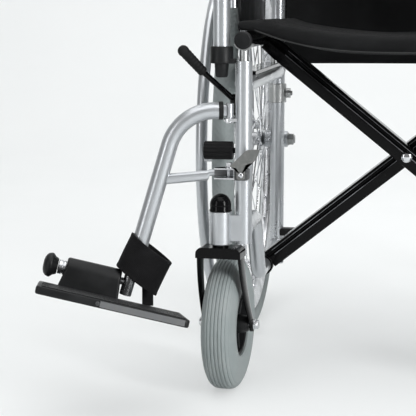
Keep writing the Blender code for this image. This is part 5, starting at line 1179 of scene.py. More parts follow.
@dataclass
class Brake:
    """Pull-to-lock brake: plate and bar on the upper rail, cranked lever with a grip, arm and ribbed shoe."""

    face: float = 0.2189
    plate: float = 0.004
    bar: float = 0.005
    pin_r: float = 0.004
    pin_gap: float = 0.00035
    eye_r: float = 0.006
    pivot: tuple[float, float] = (0.046, 0.377)
    arm_pivot: tuple[float, float] = (0.066, 0.366)
    shoe: tuple[float, float] = (0.084, 0.320)
    shoe_x: float = 0.2337
    shoe_r: float = 0.0125
    shoe_length: float = 0.040
    shoe_ribs: int = 14
    grip_r: float = 0.0075
    grip_length: float = 0.048
    rail_top: float = 0.4261
    bar_end: float = 0.329
    bar_inner: float = 0.1964

    @property
    def bar_x(self) -> float:
        """Inner face of the lever and the arm."""
        return self.face + self.plate + 0.0006

    def bracket(self) -> Shape:
        """Plate with a rounded outline, a flat bar along the rail, and two pins with heads."""
        py, pz = self.pivot
        ay, az = self.arm_pivot
        foot, outer = self.rail_top - GAP, self.face + self.plate
        outline = [(py - 0.013, pz - 0.006), (py - 0.011, pz - 0.010), (py - 0.006, pz - 0.011),
                   (ay + 0.004, az - 0.011), (ay + 0.009, az - 0.009), (ay + 0.024, 0.4005),
                   (ay + 0.026, 0.4065), (ay + 0.026, foot + 0.005), (py - 0.013, foot + 0.005)]
        made = Shape().plate(outline, self.face, outer)
        made.box((self.bar_inner, py - 0.013, foot), (outer, self.bar_end, foot + 0.005))
        for pin in (self.pivot, self.arm_pivot):
            made.rod(self.face + 0.001, self.bar_x + self.bar + 0.0002, self.pin_r, Axis.X, (0, *pin), 24)
        return made

    def lever_points(self) -> tuple[Vector, Vector, Vector, Vector]:
        """Pivot, knee, wrist and far end of the lever."""
        x = self.bar_x + self.bar / 2
        py, pz = self.pivot
        wrist = Vector((x + 0.0349, py - 0.0460, pz + 0.0536))
        tip = wrist + Vector((0.0232, -0.0200, 0.0285)).normalized() * self.grip_length
        return Vector((x, py, pz)), Vector((x + 0.0015, py - 0.0120, pz + 0.0175)), wrist, tip

    def eye(self, pivot: tuple[float, float], ends: ArrayLike) -> Shape:
        """A flat bar, round at its pivot hole, that runs through the given outline points."""
        low, high, hole = self.bar_x, self.bar_x + self.bar, self.pin_r + self.pin_gap
        turn = (TAU * np.arange(32) / 32)[:, None]
        radius = np.array([hole, self.eye_r, self.eye_r, hole])
        a, b = pivot[0] + radius * np.cos(turn), pivot[1] + radius * np.sin(turn)
        made = Shape().loft(Axis.X.place([low, low, high, high], a, b), closed=True)
        return made.plate(ends, low + 0.0001, high - 0.0001)

    def lever(self) -> Shape:
        """Lever bar: pivot eye, then a round bar cranked outboard."""
        pivot, knee, wrist, tip = self.lever_points()
        py, pz = self.pivot
        neck = [(py + 0.0020, pz + 0.0050), (py + 0.0025, pz + 0.010), (knee.y + 0.006, knee.z + 0.002),
                (knee.y, knee.z + 0.006), (knee.y - 0.006, knee.z - 0.002), (py - 0.0055, pz + 0.0035)]
        made = self.eye(self.pivot, neck)
        corners = [knee + Vector((0, 0.004, -0.006)), knee, wrist, wrist + (tip - wrist) * 0.8]
        return made.tube(arc_path(corners, 0.006, 6), 0.00375, 20)

    def lever_grip(self) -> Shape:
        """Rubber sleeve with rings and a swollen, round end."""
        wrist, tip = self.lever_points()[2:]
        length, radius = self.grip_length, self.grip_r
        share = np.linspace(0.05, 0.77, 60)
        ring = 0.00045 * np.sqrt(np.maximum(0, np.sin(np.linspace(0, TAU * 7, 60))))
        profile = np.vstack([(0, radius * 0.80), (length * 0.02, radius * 0.86),
                             np.stack([length * share, radius * (0.84 + 0.08 * share) + ring], 1),
                             (length * 0.84, radius), (length * 0.92, radius * 0.88),
                             (length * 0.97, radius * 0.62), (length, radius * 0.2)])
        return Shape().turned(profile, Axis.Z).moved(aimed(wrist, tip - wrist))

    def arm(self) -> Shape:
        """Short arm from its pivot down to the shoe, with the shoe's pin and washer."""
        ay, az = self.arm_pivot
        sy, sz = self.shoe
        web = [(ay + 0.0055, az - 0.002), (sy + 0.0055, sz + 0.003), (sy + 0.006, sz - 0.002),
               (sy + 0.003, sz - 0.0055), (sy - 0.003, sz - 0.0055), (sy - 0.006, sz),
               (ay - 0.0055, az - 0.003), (ay - 0.002, az - 0.0052), (ay + 0.003, az - 0.005)]
        made = self.eye(self.arm_pivot, web)
        end = self.shoe_x + self.shoe_length * 0.8
        return made.rod(self.bar_x + 0.001, end, self.pin_r, Axis.X, (0, sy, sz), 20)

    def pad(self) -> Shape:
        """Ribbed rubber roller with a chamfer at each end."""
        steps = np.arange(self.shoe_ribs * 8)
        turn = TAU * steps / len(steps)
        ribbed = self.shoe_r * (0.955 + 0.045 * np.tanh(3 * np.cos(TAU * steps / 8)))
        ends = ((0, 0.88), (0.0012, 1.0), (self.shoe_length - 0.0012, 1.0), (self.shoe_length, 0.88))
        along, size = np.array(ends).T[:, :, None]
        radius = ribbed * size
        return Shape().loft(Axis.X.place(self.shoe_x + along, self.shoe[0] + radius * np.cos(turn),
                                         self.shoe[1] + radius * np.sin(turn)))

    def build(self, side: Side) -> None:
        """Adds the brake's pieces."""
        side.add("brake_plate", self.bracket(), Look.ENAMEL, "frame", ["brake_bracket"], bevel=0.0005)
        side.add("brake_handle", self.lever(), Look.ENAMEL, "brake_lever", ["brake_lever"], bevel=0.0004)
        side.add("brake_sleeve", self.lever_grip(), Look.RUBBER, "brake_lever", ["brake_grip"])
        side.add("brake_link", self.arm(), Look.ENAMEL, "brake_arm", ["brake_arm"], bevel=0.0004)
        side.add("brake_pad", self.pad(), Look.RUBBER, "brake_arm", ["brake_shoe"])


# Legrest


@dataclass
class Legrest:
    """Swung-out legrest, latch, footplate and heel strap, drawn round the pivot with -Y along the hanger."""

    pivot_x: float = 0.2263
    swing: float = 77.0
    tube_start: float = 0.0088
    eye_r: float = 0.0055
    eye_height: float = 0.019
    eye_roof: float = 0.003
    pin_bore: float = 0.0037
    tube_r: float = 0.0111
    top: float = 0.381
    reach: float = 0.065
    slope: float = 0.30
    bend: float = 0.062
    foot: float = 0.190
    strut_z: float = 0.300
    strut_height: float = 0.010
    strut_width: float = 0.010
    extension_r: float = 0.008
    extension_foot: float = 0.139
    hinge_z: float = 0.155
    toe_up: float = 14.0
    inner_up: float = 9.5
    spindle_r: float = 0.005
    barrel_start: float = 0.0115
    barrel_length: float = 0.073
    barrel_r: float = 0.015
    barrel_soft: float = 0.0032
    barrel_flare: tuple[float, float] = (0.0025, 0.0065)
    collar_r: float = 0.0095
    collar_length: float = 0.010
    knob_r: float = 0.016
    knob_length: float = 0.019
    plate_low: tuple[float, float] = (-0.138, -0.115)
    plate_high: tuple[float, float] = (0.012, 0.077)
    plate_top: float = -0.024
    plate_thickness: float = 0.010
    plate_corner: float = 0.006
    ridges: int = 14
    ridge: float = 0.0012
    loop_half: tuple[float, float] = (0.0205, 0.0322)
    loop_thickness: float = 0.0028
    loop_height: float = 0.048
    loop_z: float = 0.1920
    loop_tilt: float = 26.0
    loop_droop: float = 0.22
    tail_x: float = 0.0225
    tail_y: tuple[float, float] = (-0.115, -0.100)
    tail_z: tuple[float, float] = (0.172, 0.1185)
    strip_start: float = -0.035

    @property
    def frame(self) -> Matrix:
        """From the legrest's drawing to the side's."""
        return Matrix.Translation((self.pivot_x, 0, 0)) @ Matrix.Rotation(math.radians(self.swing), 4, "Z")

    @property
    def hinge(self) -> Matrix:
        """Footplate's hinge line, tilted toe up."""
        tilt = Matrix.Rotation(math.radians(-self.toe_up), 4, "X")
        return Matrix.Translation(self.point(self.hinge_z)) @ tilt

    @property
    def plate_frame(self) -> Matrix:
        """Footplate's own frame, its inner edge raised."""
        return self.hinge @ Matrix.Rotation(math.radians(self.inner_up), 4, "Y")

    def point(self, z: float) -> Vector:
        """A point on the middle of the hanger's sloping tube."""
        return Vector((0, -self.reach - (self.top - z) * self.slope, z))

    def hanger(self) -> Shape:
        """Bent tube whose neck and strut end in eyes on the hinge pins."""
        start = self.tube_start
        corners = [(0, -start, self.top), (0, -self.reach, self.top), self.point(self.foot)]
        made = Shape().tube(arc_path(corners, self.bend, 24), self.tube_r, 32)
        bore, outer = self.pin_bore, self.eye_r
        for z, half, roof in ((self.top, self.eye_height / 2, self.eye_roof),
                              (self.strut_z, self.strut_height / 2, 0)):
            section = bush(half, bore, outer, 0.0006)
            if roof:
                section[-1:] = [(half, 0.0004), (half - roof, 0.0004), (half - roof, bore)]
            made.join(Shape().hoop(section, 32).moved(upright(0, 0, z)))
        half = self.eye_r * 0.8
        outline = round_outline((-half, self.top - self.tube_r * 0.7), (half, self.top + self.tube_r * 0.7),
                                0.003, 4)
        made.plate(outline, -start - self.tube_r / 2, -self.pin_bore - 0.0006, Axis.Y)
        rings = []
        wide, tongue = self.strut_width / 2, self.strut_height / 2 - 0.0008
        for y, z, half in ((self.point(self.strut_z).y, self.strut_z - 0.0085, 0.0070),
                           (-0.0290, self.strut_z - 0.0035, 0.0066), (-0.0275, self.strut_z - 0.0025, 0.0060),
                           (-0.0260, self.strut_z, tongue), (-0.0200, self.strut_z, tongue)):
            outline = round_outline((-wide, z - half), (wide, z + half), min(0.0045, half * 0.9), 5)
            rings.append(Axis.Y.place(y, *outline.T))
        return made.loft(rings)

    def strut_end_painted_shade(self) -> Shape:
        """End of the strut inside the channel, coloured dark: painted shade where the channel shades it."""
        half, width = self.strut_height / 2 - 0.0004, self.strut_width / 2 + 0.0002
        outline = round_outline((-width, self.strut_z - half), (width, self.strut_z + half), 0.0020, 4)
        return Shape().plate(outline, -0.0200, -self.pin_bore - 0.0006, Axis.Y)

    def hanger_plug(self) -> Shape:
        """Black cap over the hanger tube's end at the hinge."""
        radius = self.tube_r + 0.0008
        face = 0.0006 - self.tube_start
        profile = [(face - 0.0062, radius - 0.0004), (face - 0.0058, radius), (face - 0.0008, radius),
                   (face - 0.0002, radius - 0.0008), (face, radius - 0.003)]
        return Shape().turned(profile, Axis.Y, (0, 0, self.top), 40)

    def hanger_end(self) -> Shape:
        """Clamp ring on the hanger's foot."""
        foot, radius = self.point(self.foot), self.tube_r
        ring = Shape().turned([(-0.010, radius + 0.0002), (-0.0095, radius + 0.0012),
                               (-0.001, radius + 0.0012), (0.0004, radius - 0.0004)], Axis.Z, sides=40)
        return ring.moved(aimed(foot, foot - self.point(self.foot + 0.1)))

    def latch(self, block: SideFrame) -> Shape:
        """Bent release paddle on its pivot eye.

        Each corner is rounded by the curve first * (1 - t)^2 + corner * 2 * t * (1 - t) + last * t^2.
        """
        pivot = np.array((block.half_width, block.latch_z))
        corner = pivot + [(0.0055, -0.0055), (0.0055, 0.0098), (0.0100, 0.0095), (0.0147, 0.0115),
                          (-0.0078, 0.0330), (-0.0249, 0.0335), (-0.0215, 0.0245), (-0.0167, 0.0170),
                          (-0.0055, 0.0135), (-0.0055, -0.0055)]
        runs = np.stack([np.roll(corner, 1, 0) - corner, np.roll(corner, -1, 0) - corner])
        cut = np.minimum(0.003, np.linalg.norm(runs, axis=2).min(0) * 0.45)[:, None]
        first, last = (corner + unit(runs) * cut)[:, :, None]
        t = np.linspace(0, 1, 5)[:, None]
        outer = (first * (1 - t) ** 2 + corner[:, None] * 2 * t * (1 - t) + last * t ** 2).reshape(-1, 2)
        inner = pivot + unit(outer - pivot) * (block.pin_r + GAP + 0.0003)
        back = -self.tube_r - block.latch_proud - GAP
        x, z = np.stack([inner, outer, outer, inner], 1).transpose(2, 0, 1)
        return Shape().loft(Axis.Y.place([back - 0.003, back - 0.003, back, back], x, z), closed=True)

    def slider(self) -> Shape:
        """Chromed height tube with its spindle and collar."""
        made = Shape().tube([self.point(self.foot + 0.036), self.point(self.extension_foot)],
                            self.extension_r, 32)
        end = self.barrel_start + self.barrel_length + GAP
        spindle = Shape().rod(0, -end - self.collar_length - GAP, self.spindle_r, Axis.Y)
        radius = self.collar_r
        profile = [(0, radius * 0.9), (0.0008, radius), (0.0030, radius), (0.0036, radius * 0.86),
                   (0.0044, radius * 0.86), (0.0050, radius), (0.0092, radius),
                   (self.collar_length, radius * 0.9)]
        spindle.turned([(-end - along, size) for along, size in profile], Axis.Y)
        return made.join(spindle.moved(self.hinge))

    def knob(self) -> Shape:
        """Mushroom cap with a rolled edge and a dished face."""
        length, radius = self.knob_length, self.knob_r
        profile = [(0, radius * 0.60), (length * 0.06, radius * 0.68), (length * 0.25, radius * 0.78),
                   (length * 0.38, radius * 0.94), (length * 0.46, radius), (length * 0.56, radius),
                   (length * 0.75, radius * 0.92), (length * 0.88, radius * 0.76),
                   (length * 0.96, radius * 0.54), (length, radius * 0.28), (length * 0.985, radius * 0.1)]
        face = self.barrel_start + self.barrel_length + self.collar_length + 3 * GAP
        knob = Shape().turned([(-along, size) for along, size in profile], Axis.Y, sides=40)
        return knob.moved(self.hinge @ Matrix.Translation((0, -face, 0)))

    def plate(self) -> Shape:
        """Moulded tread plate with a rolled edge and fine ridges."""
        low, high, corner = np.array(self.plate_low), np.array(self.plate_high), self.plate_corner
        rings = []
        top, foot = self.plate_top, self.plate_top - self.plate_thickness
        for inset, z in ((0.0016, foot), (0.0004, foot + 0.0010), (0, foot + 0.0024), (0, top - 0.0020),
                         (0.0005, top - 0.0007), (0.0018, top)):
            rings.append(Axis.Z.place(z, *round_outline(low + inset, high - inset, corner - inset, 8).T))
        made = Shape().loft(rings)
        first = high[0] - 2 * self.barrel_r - corner / 2
        pitch = (first - low[0] - corner / 2) / self.ridges
        for i in range(self.ridges):
            x = first - (i + 1) * pitch
            far = (x + pitch * 0.45, high[1] - corner)
            outline = round_outline((x, low[1] + corner), far, pitch * 0.2, 3)
            made.plate(outline, top - self.ridge, top + self.ridge, Axis.Z)
        return made

    def barrel(self) -> Shape:
        """Hinge barrel: half round on top and straight down to the plate, its ends rounded and flared."""
        bore = self.spindle_r + GAP + 0.0003
        half, foot, soft = self.barrel_r, self.plate_top - 0.005, self.barrel_soft
        turn = np.linspace(0, math.pi, 41)
        outer = np.vstack([np.stack([half * np.cos(turn), half * np.sin(turn)], 1), (-half, foot * 0.5),
                           (-half, foot), (-half * 0.33, foot), (half * 0.33, foot), (half, foot),
                           (half, foot * 0.5)])
        a, b = outer.T[:, :, None]
        low = np.maximum(0.0, b / foot)
        near, far = -self.barrel_start, -self.barrel_start - self.barrel_length
        turn = np.linspace(0, math.pi / 2, 5)
        size = 1 - soft / np.hypot(a, b) * (1 - np.sin(turn))
        size = np.hstack([size, size[:, ::-1]])
        rise = soft * (1 - np.cos(turn))
        y = np.hstack([near + self.barrel_flare[0] * low - rise,
                       far - self.barrel_flare[1] * low + rise[::-1]])
        walls = Axis.Y.place(y, a * size, b * np.where(b > 0, size, 1))
        ends = [Axis.Y.place(along, *(unit(outer) * bore).T)[:, None] for along in (near, far)]
        return Shape().loft(np.hstack([ends[0], walls, ends[1]]), closed=True)

    def edge_strip(self) -> Shape:
        """Ribbed grey strip let into the rear half of the plate's inner edge, and the screw at its end."""
        face, end = self.plate_low[0], self.plate_high[1] - self.plate_corner
        middle, half = self.plate_top - self.plate_thickness / 2, self.plate_thickness / 2 - 0.0012
        made = Shape()
        count = 44
        pitch = (end - self.strip_start) / count
        for i in range(count):
            y = self.strip_start + i * pitch
            made.box((face - 0.0006, y, middle - half), (face + 0.001, y + pitch * 0.6, middle + half))
        made.box((face - 0.0003, self.strip_start, middle - half), (face + 0.001, end, middle + half))
        return made.bolt((face - 0.0002, self.strip_start - 0.003, middle), (-1, 0, 0), 0.0050, 0.0014)

    def strap_tail(self) -> Shape:
        """Loose end of the heel strap, which hangs in a slight wave to just above the plate."""
        share = np.linspace(0, 1, 25)[:, None]
        x = self.tail_x + 0.0008 * (np.sin(5 * share) + [-1, 1, 1, -1])
        y = np.repeat(self.tail_y, 2)
        return Shape().loft(Axis.X.place(x, y, self.tail_z[0] + (self.tail_z[1] - self.tail_z[0]) * share))

    def strap(self) -> tuple[np.ndarray, np.ndarray]:
        """Broad webbing band with thick hems, as a surface and its UV grid.

        It is an oval of loop_half that droops by loop_droop of the distance in front of its rear wall.
        """
        half = self.loop_height / 2
        rows = np.linspace(-half, half, 33)
        swell = 0.00035 * np.clip((np.abs(rows) - half + 0.0045) / 0.0010, 0, 1)
        section = np.vstack([np.stack([rows, swell], 1),
                             np.stack([rows, -self.loop_thickness - swell * 0.4], 1)[::-1]])
        turn, height = np.meshgrid(TAU * np.arange(144) / 144, section[:, 0], indexing="ij")
        out = section[:, 1] + 0.0005 * np.sin(3 * turn + 0.7) * (1 - (height / half) ** 2)
        x = (self.loop_half[0] + out) * np.cos(turn)
        y = (self.loop_half[1] + out) * np.sin(turn)
        along = np.concatenate([[0], np.cumsum(np.hypot(*np.diff(section, axis=0).T))])
        perimeter = math.pi * sum(self.loop_half)
        uv = np.stack([turn / TAU * perimeter, np.broadcast_to(along, turn.shape)], 2)
        return np.stack([x, y, height - self.loop_droop * (y + self.loop_half[1])], 2), uv

    def strap_frame(self) -> Matrix:
        """Place and droop of the strap round the hanger."""
        tilt = math.radians(self.loop_tilt)
        lean = tilt - math.atan(self.slope)
        inner = self.loop_half[1] - self.loop_thickness
        setback = inner - self.tube_r / math.cos(lean) - self.loop_height / 2 * math.tan(lean) - GAP
        centre = self.point(self.loop_z) + Vector((0, setback * math.cos(tilt), -setback * math.sin(tilt)))
        return Matrix.Translation(centre) @ Matrix.Rotation(-tilt, 4, "X")

    def build(self, side: Side, block: SideFrame) -> None:
        """Adds the legrest's pieces."""
        frame = self.frame
        side.add("hanger", self.hanger(), Look.PAINT, "legrest", ["legrest_hanger"], frame)
        side.add("hanger_end", self.hanger_end(), Look.PAINT, "legrest", (), frame)
        # The strut's end inside the channel is coloured dark as painted shade.
        side.add("strut_end_painted_shade", self.strut_end_painted_shade(), Look.GRIT, "legrest", (), frame)
        side.add("hanger_plug", self.hanger_plug(), Look.PLASTIC, "legrest", (), frame)
        side.add("slider", self.slider(), Look.ALLOY, "legrest", ["footplate_tube"], frame)
        side.add("knob", self.knob(), Look.PLASTIC, "legrest", ["footplate_knob"], frame)
        side.add("release_paddle", self.latch(block), Look.STEEL, "latch", ["legrest_latch"], bevel=0.0004)
        plate = frame @ self.plate_frame
        tread = self.plate().join(self.barrel())
        side.add("tread_plate", tread, Look.PLASTIC, "footplate", ["footplate"], plate, bevel=0.0003)
        side.add("edge_strip", self.edge_strip(), Look.GRIT, "footplate", (), plate)
        side.add("strap_tail", self.strap_tail(), Look.WEBBING, "legrest", (), frame, bevel=0.0004)
        around = frame @ self.strap_frame()
        side.add_grid("heel_strap", self.strap(), Look.WEBBING, "legrest", ["heel_loop"], around)


# Folding brace


@dataclass
class CrossBrace:
    """Two bars crossed at a bolt, each with a sleeve round a lower rail and the opposite seat rail."""

    half_width: float = 0.2075
    foot_z: float = 0.137
    head_z: float = 0.472
    middle_y: float = 0.2145
    bar_width: float = 0.0264
    bar_depth: float = 0.034
    neck: float = 0.030
    edge_r: float = 0.0025
    bead_r: float = 0.0007
    groove_rise: float = 0.0053
    groove_half: float = 0.0025
    groove_depth: float = 0.0025
    tube_r: float = 0.0111
    sleeve: float = 0.036
    sleeve_wall: float = 0.0032
    rail: tuple[float, float] = (-0.008, 0.366)
    bolt_r: float = 0.0080
    bolt_height: float = 0.005
    plug_r: float = 0.0116
    plug_height: float = 0.005

    def bead(self, at: float) -> np.ndarray:
        """A fine raised line along a bar's face, which catches the light."""
        turn = np.linspace(0, math.pi, 7)
        return np.stack([at - self.bead_r * np.cos(turn), self.bar_depth / 2 + self.bead_r * np.sin(turn)], 1)

    def member(self, foot_side: int, face_y: float) -> Shape:
        """One member, drawn in the chair's coordinates with Y = 0 at the front post."""
        foot, head, along, across = self.run(foot_side)
        half_w, half_d, round_r = self.bar_width / 2, self.bar_depth / 2, self.edge_r
        rise, groove, depth = self.groove_rise, self.groove_half, self.groove_depth
        turn = np.linspace(0, math.pi / 2, 6)
        edge = np.stack([round_r * (1 - np.cos(turn)) - half_w, half_d - round_r * (1 - np.sin(turn))], 1)
        face = np.vstack([edge, self.bead(rise - groove - self.bead_r), (rise - groove, half_d),
                          (rise - groove * 0.7, half_d - depth * 0.35), (rise, half_d - depth),
                          (rise + groove * 0.4, half_d - depth * 0.9), (rise + groove, half_d),
                          self.bead(half_w - round_r - 2 * self.bead_r), edge[::-1] * (-1, 1)])
        up, out = np.vstack([face, face[::-1] * (1, -1)]).T[:, :, None]
        near, far = self.tube_r + self.sleeve_wall * 0.5, self.tube_r * 0.8
        slim = 1 - (1 - self.tube_r / half_w) * (1 - far / self.neck)
        made = Shape().loft([end + across * up * size + (face_y + out) * (0, 1, 0) for end, size in (
            (foot + along * near, 1), (head - along * self.neck, 1), (head - along * far, slim))])
        bore = self.tube_r + 0.0006
        outer, half = bore + self.sleeve_wall, self.sleeve / 2
        section = bush(half, bore, outer, 0.0008)
        turned = Matrix.Translation((foot[0], face_y, foot[2])) @ Matrix.Rotation(math.pi / 2, 4, "Z")
        made.join(Shape().hoop(section, 48).moved(turned))
        return made.rod(*self.rail, self.tube_r, Axis.Y, (head[0], 0, head[2]), 40, 0.0006)

    def painted_highlight_lines(self, foot_side: int, face_y: float) -> Shape:
        """Painted highlight: thin bright strips on the crests of the two beads on a bar's front face, in
        place of the lines of light reflected along them.
        """
        foot, head, along, across = self.run(foot_side)
        made = Shape()
        beads = (self.groove_rise - self.groove_half - self.bead_r,
                 self.bar_width / 2 - self.edge_r - 2 * self.bead_r)
        for rise, radius in zip(beads, (0.00055, 0.00040)):
            crest = across * rise + (0, face_y - self.bar_depth / 2 - self.bead_r, 0)
            made.tube([foot + along * 0.024 + crest, head - along * (self.neck + 0.012) + crest], radius, 10)
        return made

    def bolt(self) -> Shape:
        """Pivot bolt: domed head in front, washer and lock nut behind."""
        half = self.bar_depth + 2 * GAP
        middle = (0, self.middle_y, (self.foot_z + self.head_z) / 2)
        made = Shape().bolt((0, middle[1] - half, middle[2]), (0, -1, 0), self.bolt_r * 2, self.bolt_height)
        return made.bolt((0, middle[1] + half, middle[2]), (0, 1, 0), self.bolt_r * 1.6, self.bolt_height,
                         hexed=True)

    def plug(self, side: int) -> Shape:
        """Domed plug on a seat rail's front end."""
        face = self.rail[0] - GAP
        radius, height = self.plug_r, self.plug_height
        profile = [(face, radius), (face - height * 0.5, radius), (face - height * 0.8, radius * 0.93),
                   (face - height, radius * 0.8), (face - height * 0.93, radius * 0.55),
                   (face - height * 0.90, radius * 0.1)]
        return Shape().turned(profile, Axis.Y, (side * self.half_width, 0, self.head_z), 40)

    def build(self, shift: float) -> None:
        """Adds the brace's pieces."""
        at = Matrix.Translation((0, shift, 0))
        reach = self.bar_depth / 2 + GAP
        pairs = (("rear", -1, self.middle_y + reach), ("front", 1, self.middle_y - reach))
        for name, foot_side, face_y in pairs:
            body = f"{name}_brace"
            member = self.member(foot_side, face_y).moved(at)
            piece_of(f"{name}_member", member, Look.ENAMEL, body, [body], bevel=0.0004)
            # The bright strips on the beads are painted highlight.
            piece_of(f"{name}_painted_highlight_lines", self.painted_highlight_lines(foot_side, face_y).moved(at), Look.WORN, body)
            label = "left" if foot_side < 0 else "right"
            piece_of(f"{label}_plug", self.plug(-foot_side).moved(at), Look.PLASTIC, body,
                     [f"{label}_rail_plug"])
        piece_of("pivot_bolt", self.bolt().moved(at), Look.CHROME, "rear_brace", ["brace_bolt"], angle=40)

    def run(self, foot_side: int) -> tuple[np.ndarray, np.ndarray, np.ndarray, np.ndarray]:
        """The middle of a bar's foot and of its head, the way along it, and the way across its face."""
        foot = np.array((foot_side * self.half_width, 0, self.foot_z))
        head = np.array((-foot_side * self.half_width, 0, self.head_z))
        along = unit(head - foot)
        return foot, head, along, np.array((foot_side * along[2], 0, abs(along[0])))


# Fabric


def puffed(name: str, shape: Shape, pinned: Callable[[np.ndarray], np.ndarray], cap: float) -> bpy.types.Mesh:
    """Blows a closed shape up a little, as a filled cover is, by a short cloth simulation.

    Args:
        name: The mesh's name.
        shape: The cover's closed shape, slightly smaller than it ends up.
        pinned: Says for each row of an n by 3 array of points whether it is held.
        cap: The furthest that a point may move.

    Returns:
        An evenly divided mesh of the cover.
    """
    work = new_object(name + "_work", shape.mesh(name))
    remesh = work.modifiers.new("remesh", "REMESH")
    remesh.mode = "VOXEL"
    remesh.voxel_size = CLOTH_CELL

    def settle() -> None:
        """Turns the modifiers' result into the object's own mesh."""
        depsgraph = bpy.context.evaluated_depsgraph_get()
        rough = work.data
        work.data = bpy.data.meshes.new_from_object(work.evaluated_get(depsgraph))
        bpy.data.meshes.remove(rough)
        work.modifiers.clear()

    settle()
    start = points_of(work.data)
    work.vertex_groups.new(name="held").add(np.flatnonzero(pinned(start)).tolist(), 1.0, "REPLACE")
    cloth = work.modifiers.new("cloth", "CLOTH").settings
    cloth.use_pressure = True
    cloth.uniform_pressure_force = CLOTH_PRESSURE
    cloth.effector_weights.gravity = 0.0
    cloth.vertex_group_mass = "held"
    for number in range(1, CLOTH_FRAMES + 1):
        bpy.context.scene.frame_set(number)
    settle()
    bpy.context.scene.frame_set(1)
    moved = points_of(work.data) - start
    length = np.maximum(np.linalg.norm(moved, axis=1, keepdims=True), 1e-9)
    moved *= np.minimum(1.0, cap / length)
    work.data.vertices.foreach_set("co", (start + moved).astype(np.float32).ravel())
    smooth = work.modifiers.new("smooth", "SUBSURF")
    smooth.levels = 1
    settle()
    made = work.data
    bpy.data.objects.remove(work)
    made.name = name
    return made


def read(items: bpy.types.bpy_prop_collection, name: str, width: int = 1,
         kind: type = np.float32) -> np.ndarray:
    """One attribute of a mesh's points, corners or faces, as rows of this width."""
    flat = np.empty(len(items) * width, kind)
    items.foreach_get(name, flat)
    return flat.reshape(-1, width)


def points_of(mesh: bpy.types.Mesh) -> np.ndarray:
    """A mesh's points as an n by 3 array."""
    return read(mesh.vertices, "co", 3).astype(float)


@dataclass
class Seat:
    """Padded nylon sling over the seat rails, with a rolled front hem and a piped edge."""

    inner: float = 0.1964
    outer: float = 0.2186
    foot: float = 0.4836
    thickness: float = 0.0132
    top_sag: float = 0.0224
    bottom_sag: float = 0.0302
    front: float = -0.002
    depth: float = 0.360
    hem: float = 0.007
    swell: float = 0.0025
    edge_width: float = 0.008
    edge_drop: float = 0.007

    def low(self, x: np.ndarray) -> np.ndarray:
        """Height of the underside: foot - sag * (1 - |x / inner|^3), flat over the rails."""
        return self.foot - self.bottom_sag * (1 - np.minimum(1.0, np.abs(x) / self.inner) ** 3)

    def high(self, x: np.ndarray) -> np.ndarray:
        """Height of the top: foot + thickness - sag * (1 - |x / inner|^2.2), with a fold beside each rail."""
        out = np.minimum(1.0, np.abs(x) / self.inner)
        fold = 0.0028 * np.exp(-((np.abs(x) - 0.176) / 0.010) ** 2)
        return self.foot + self.thickness - self.top_sag * (1 - out ** 2.2) + fold

    def cover(self) -> Shape:
        """The cover before it is filled, with half ovals at its front and rear hems."""
        x = np.linspace(-self.outer, self.outer, 121)[:, None]
        edge = 1 - np.minimum(1.0, (self.outer - np.abs(x)) / self.edge_width)
        low, high = self.low(x), self.high(x) - self.edge_drop * (1 - np.sqrt(1 - edge ** 2))
        half, middle = (high - low) / 2, (high + low) / 2
        near, far = self.front + self.hem, self.front + self.depth - self.hem
        run, flat = np.linspace(far, near, 41), np.ones(41)
        turn = math.pi / 2 - math.pi * np.arange(1, 12) / 12
        out, up = self.hem * np.cos(turn), half * np.sin(turn)
        y = np.concatenate([run, near - out, run[::-1], far + out])
        z = np.hstack([high * flat, middle + up, low * flat, middle - up])
        return Shape().loft(Axis.X.place(x, y, z))

    def folds(self, points: np.ndarray) -> np.ndarray:
        """Height of creases that fan out from the two front corners, and of a soft unevenness everywhere.

        Each crease is a * sin(n * angle) / (1 + (r / reach)^2), with the angle and r taken from its corner.
        """
        x, y = points[:, 0], points[:, 1] - self.front
        made = 0.0007 * np.sin(x * 57 + 4 * np.sin(y * 19)) * np.sin(y * 41 + x * 13)
        for corner in (-self.inner, self.inner):
            along, r = np.arctan2(y + 0.01, np.abs(x - corner) + 0.004), np.hypot(x - corner, y)
            made += 0.0014 * np.sin(11 * along + 1.5 * np.sign(corner)) * (r / 0.03) / (1 + (r / 0.045) ** 3)
        return made * np.clip((self.inner - np.abs(x)) / 0.02, 0, 1)

    def piping(self, shift: float) -> Shape:
        """Piped edge along the foot of the front hem."""
        x = np.linspace(-self.inner + 0.002, self.inner - 0.002, 60)
        low, high = self.low(x), self.high(x)
        path = Axis.X.place(x, self.front - 0.0002 + shift, low + 0.16 * (high - low))
        return Shape().tube(path, 0.0008, 8)

    def build(self, shift: float) -> None:
        """Adds the sling and its piped edge."""

        def held(points: np.ndarray) -> np.ndarray:
            """The points over the rails."""
            return np.abs(points[:, 0]) > self.inner - 0.004

        mesh = puffed("seat_cover", self.cover(), held, self.swell)
        points = points_of(mesh)
        low, high = self.low(points[:, 0]), self.high(points[:, 0])
        points[:, 2] += np.where(points[:, 2] > (low + high) / 2, self.folds(points), 0.0)
        points[:, 2] = np.maximum(points[:, 2], low)
        points[:, 1] = np.clip(points[:, 1], self.front - 0.002, self.front + self.depth + 0.002) + shift
        mesh.vertices.foreach_set("co", points.astype(np.float32).ravel())
        sling = soft_piece(mesh, Look.NYLON, ["seat_sling"])
        edge = soft_piece(self.piping(shift).mesh("seat_piping"), Look.PIPING)
        left, right = (-self.inner, 0, self.foot), (self.inner, 0, self.foot)
        for piece in (sling, edge):
            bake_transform(piece)
            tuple(left)
            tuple(right)


def soft_piece(mesh: bpy.types.Mesh, look: Look, nodes: Iterable[str] = ()) -> bpy.types.Object:
    project_uv(mesh)
    mesh.materials.clear()
    return finish_piece(mesh.name, mesh, look, "", nodes, angle=180.0)


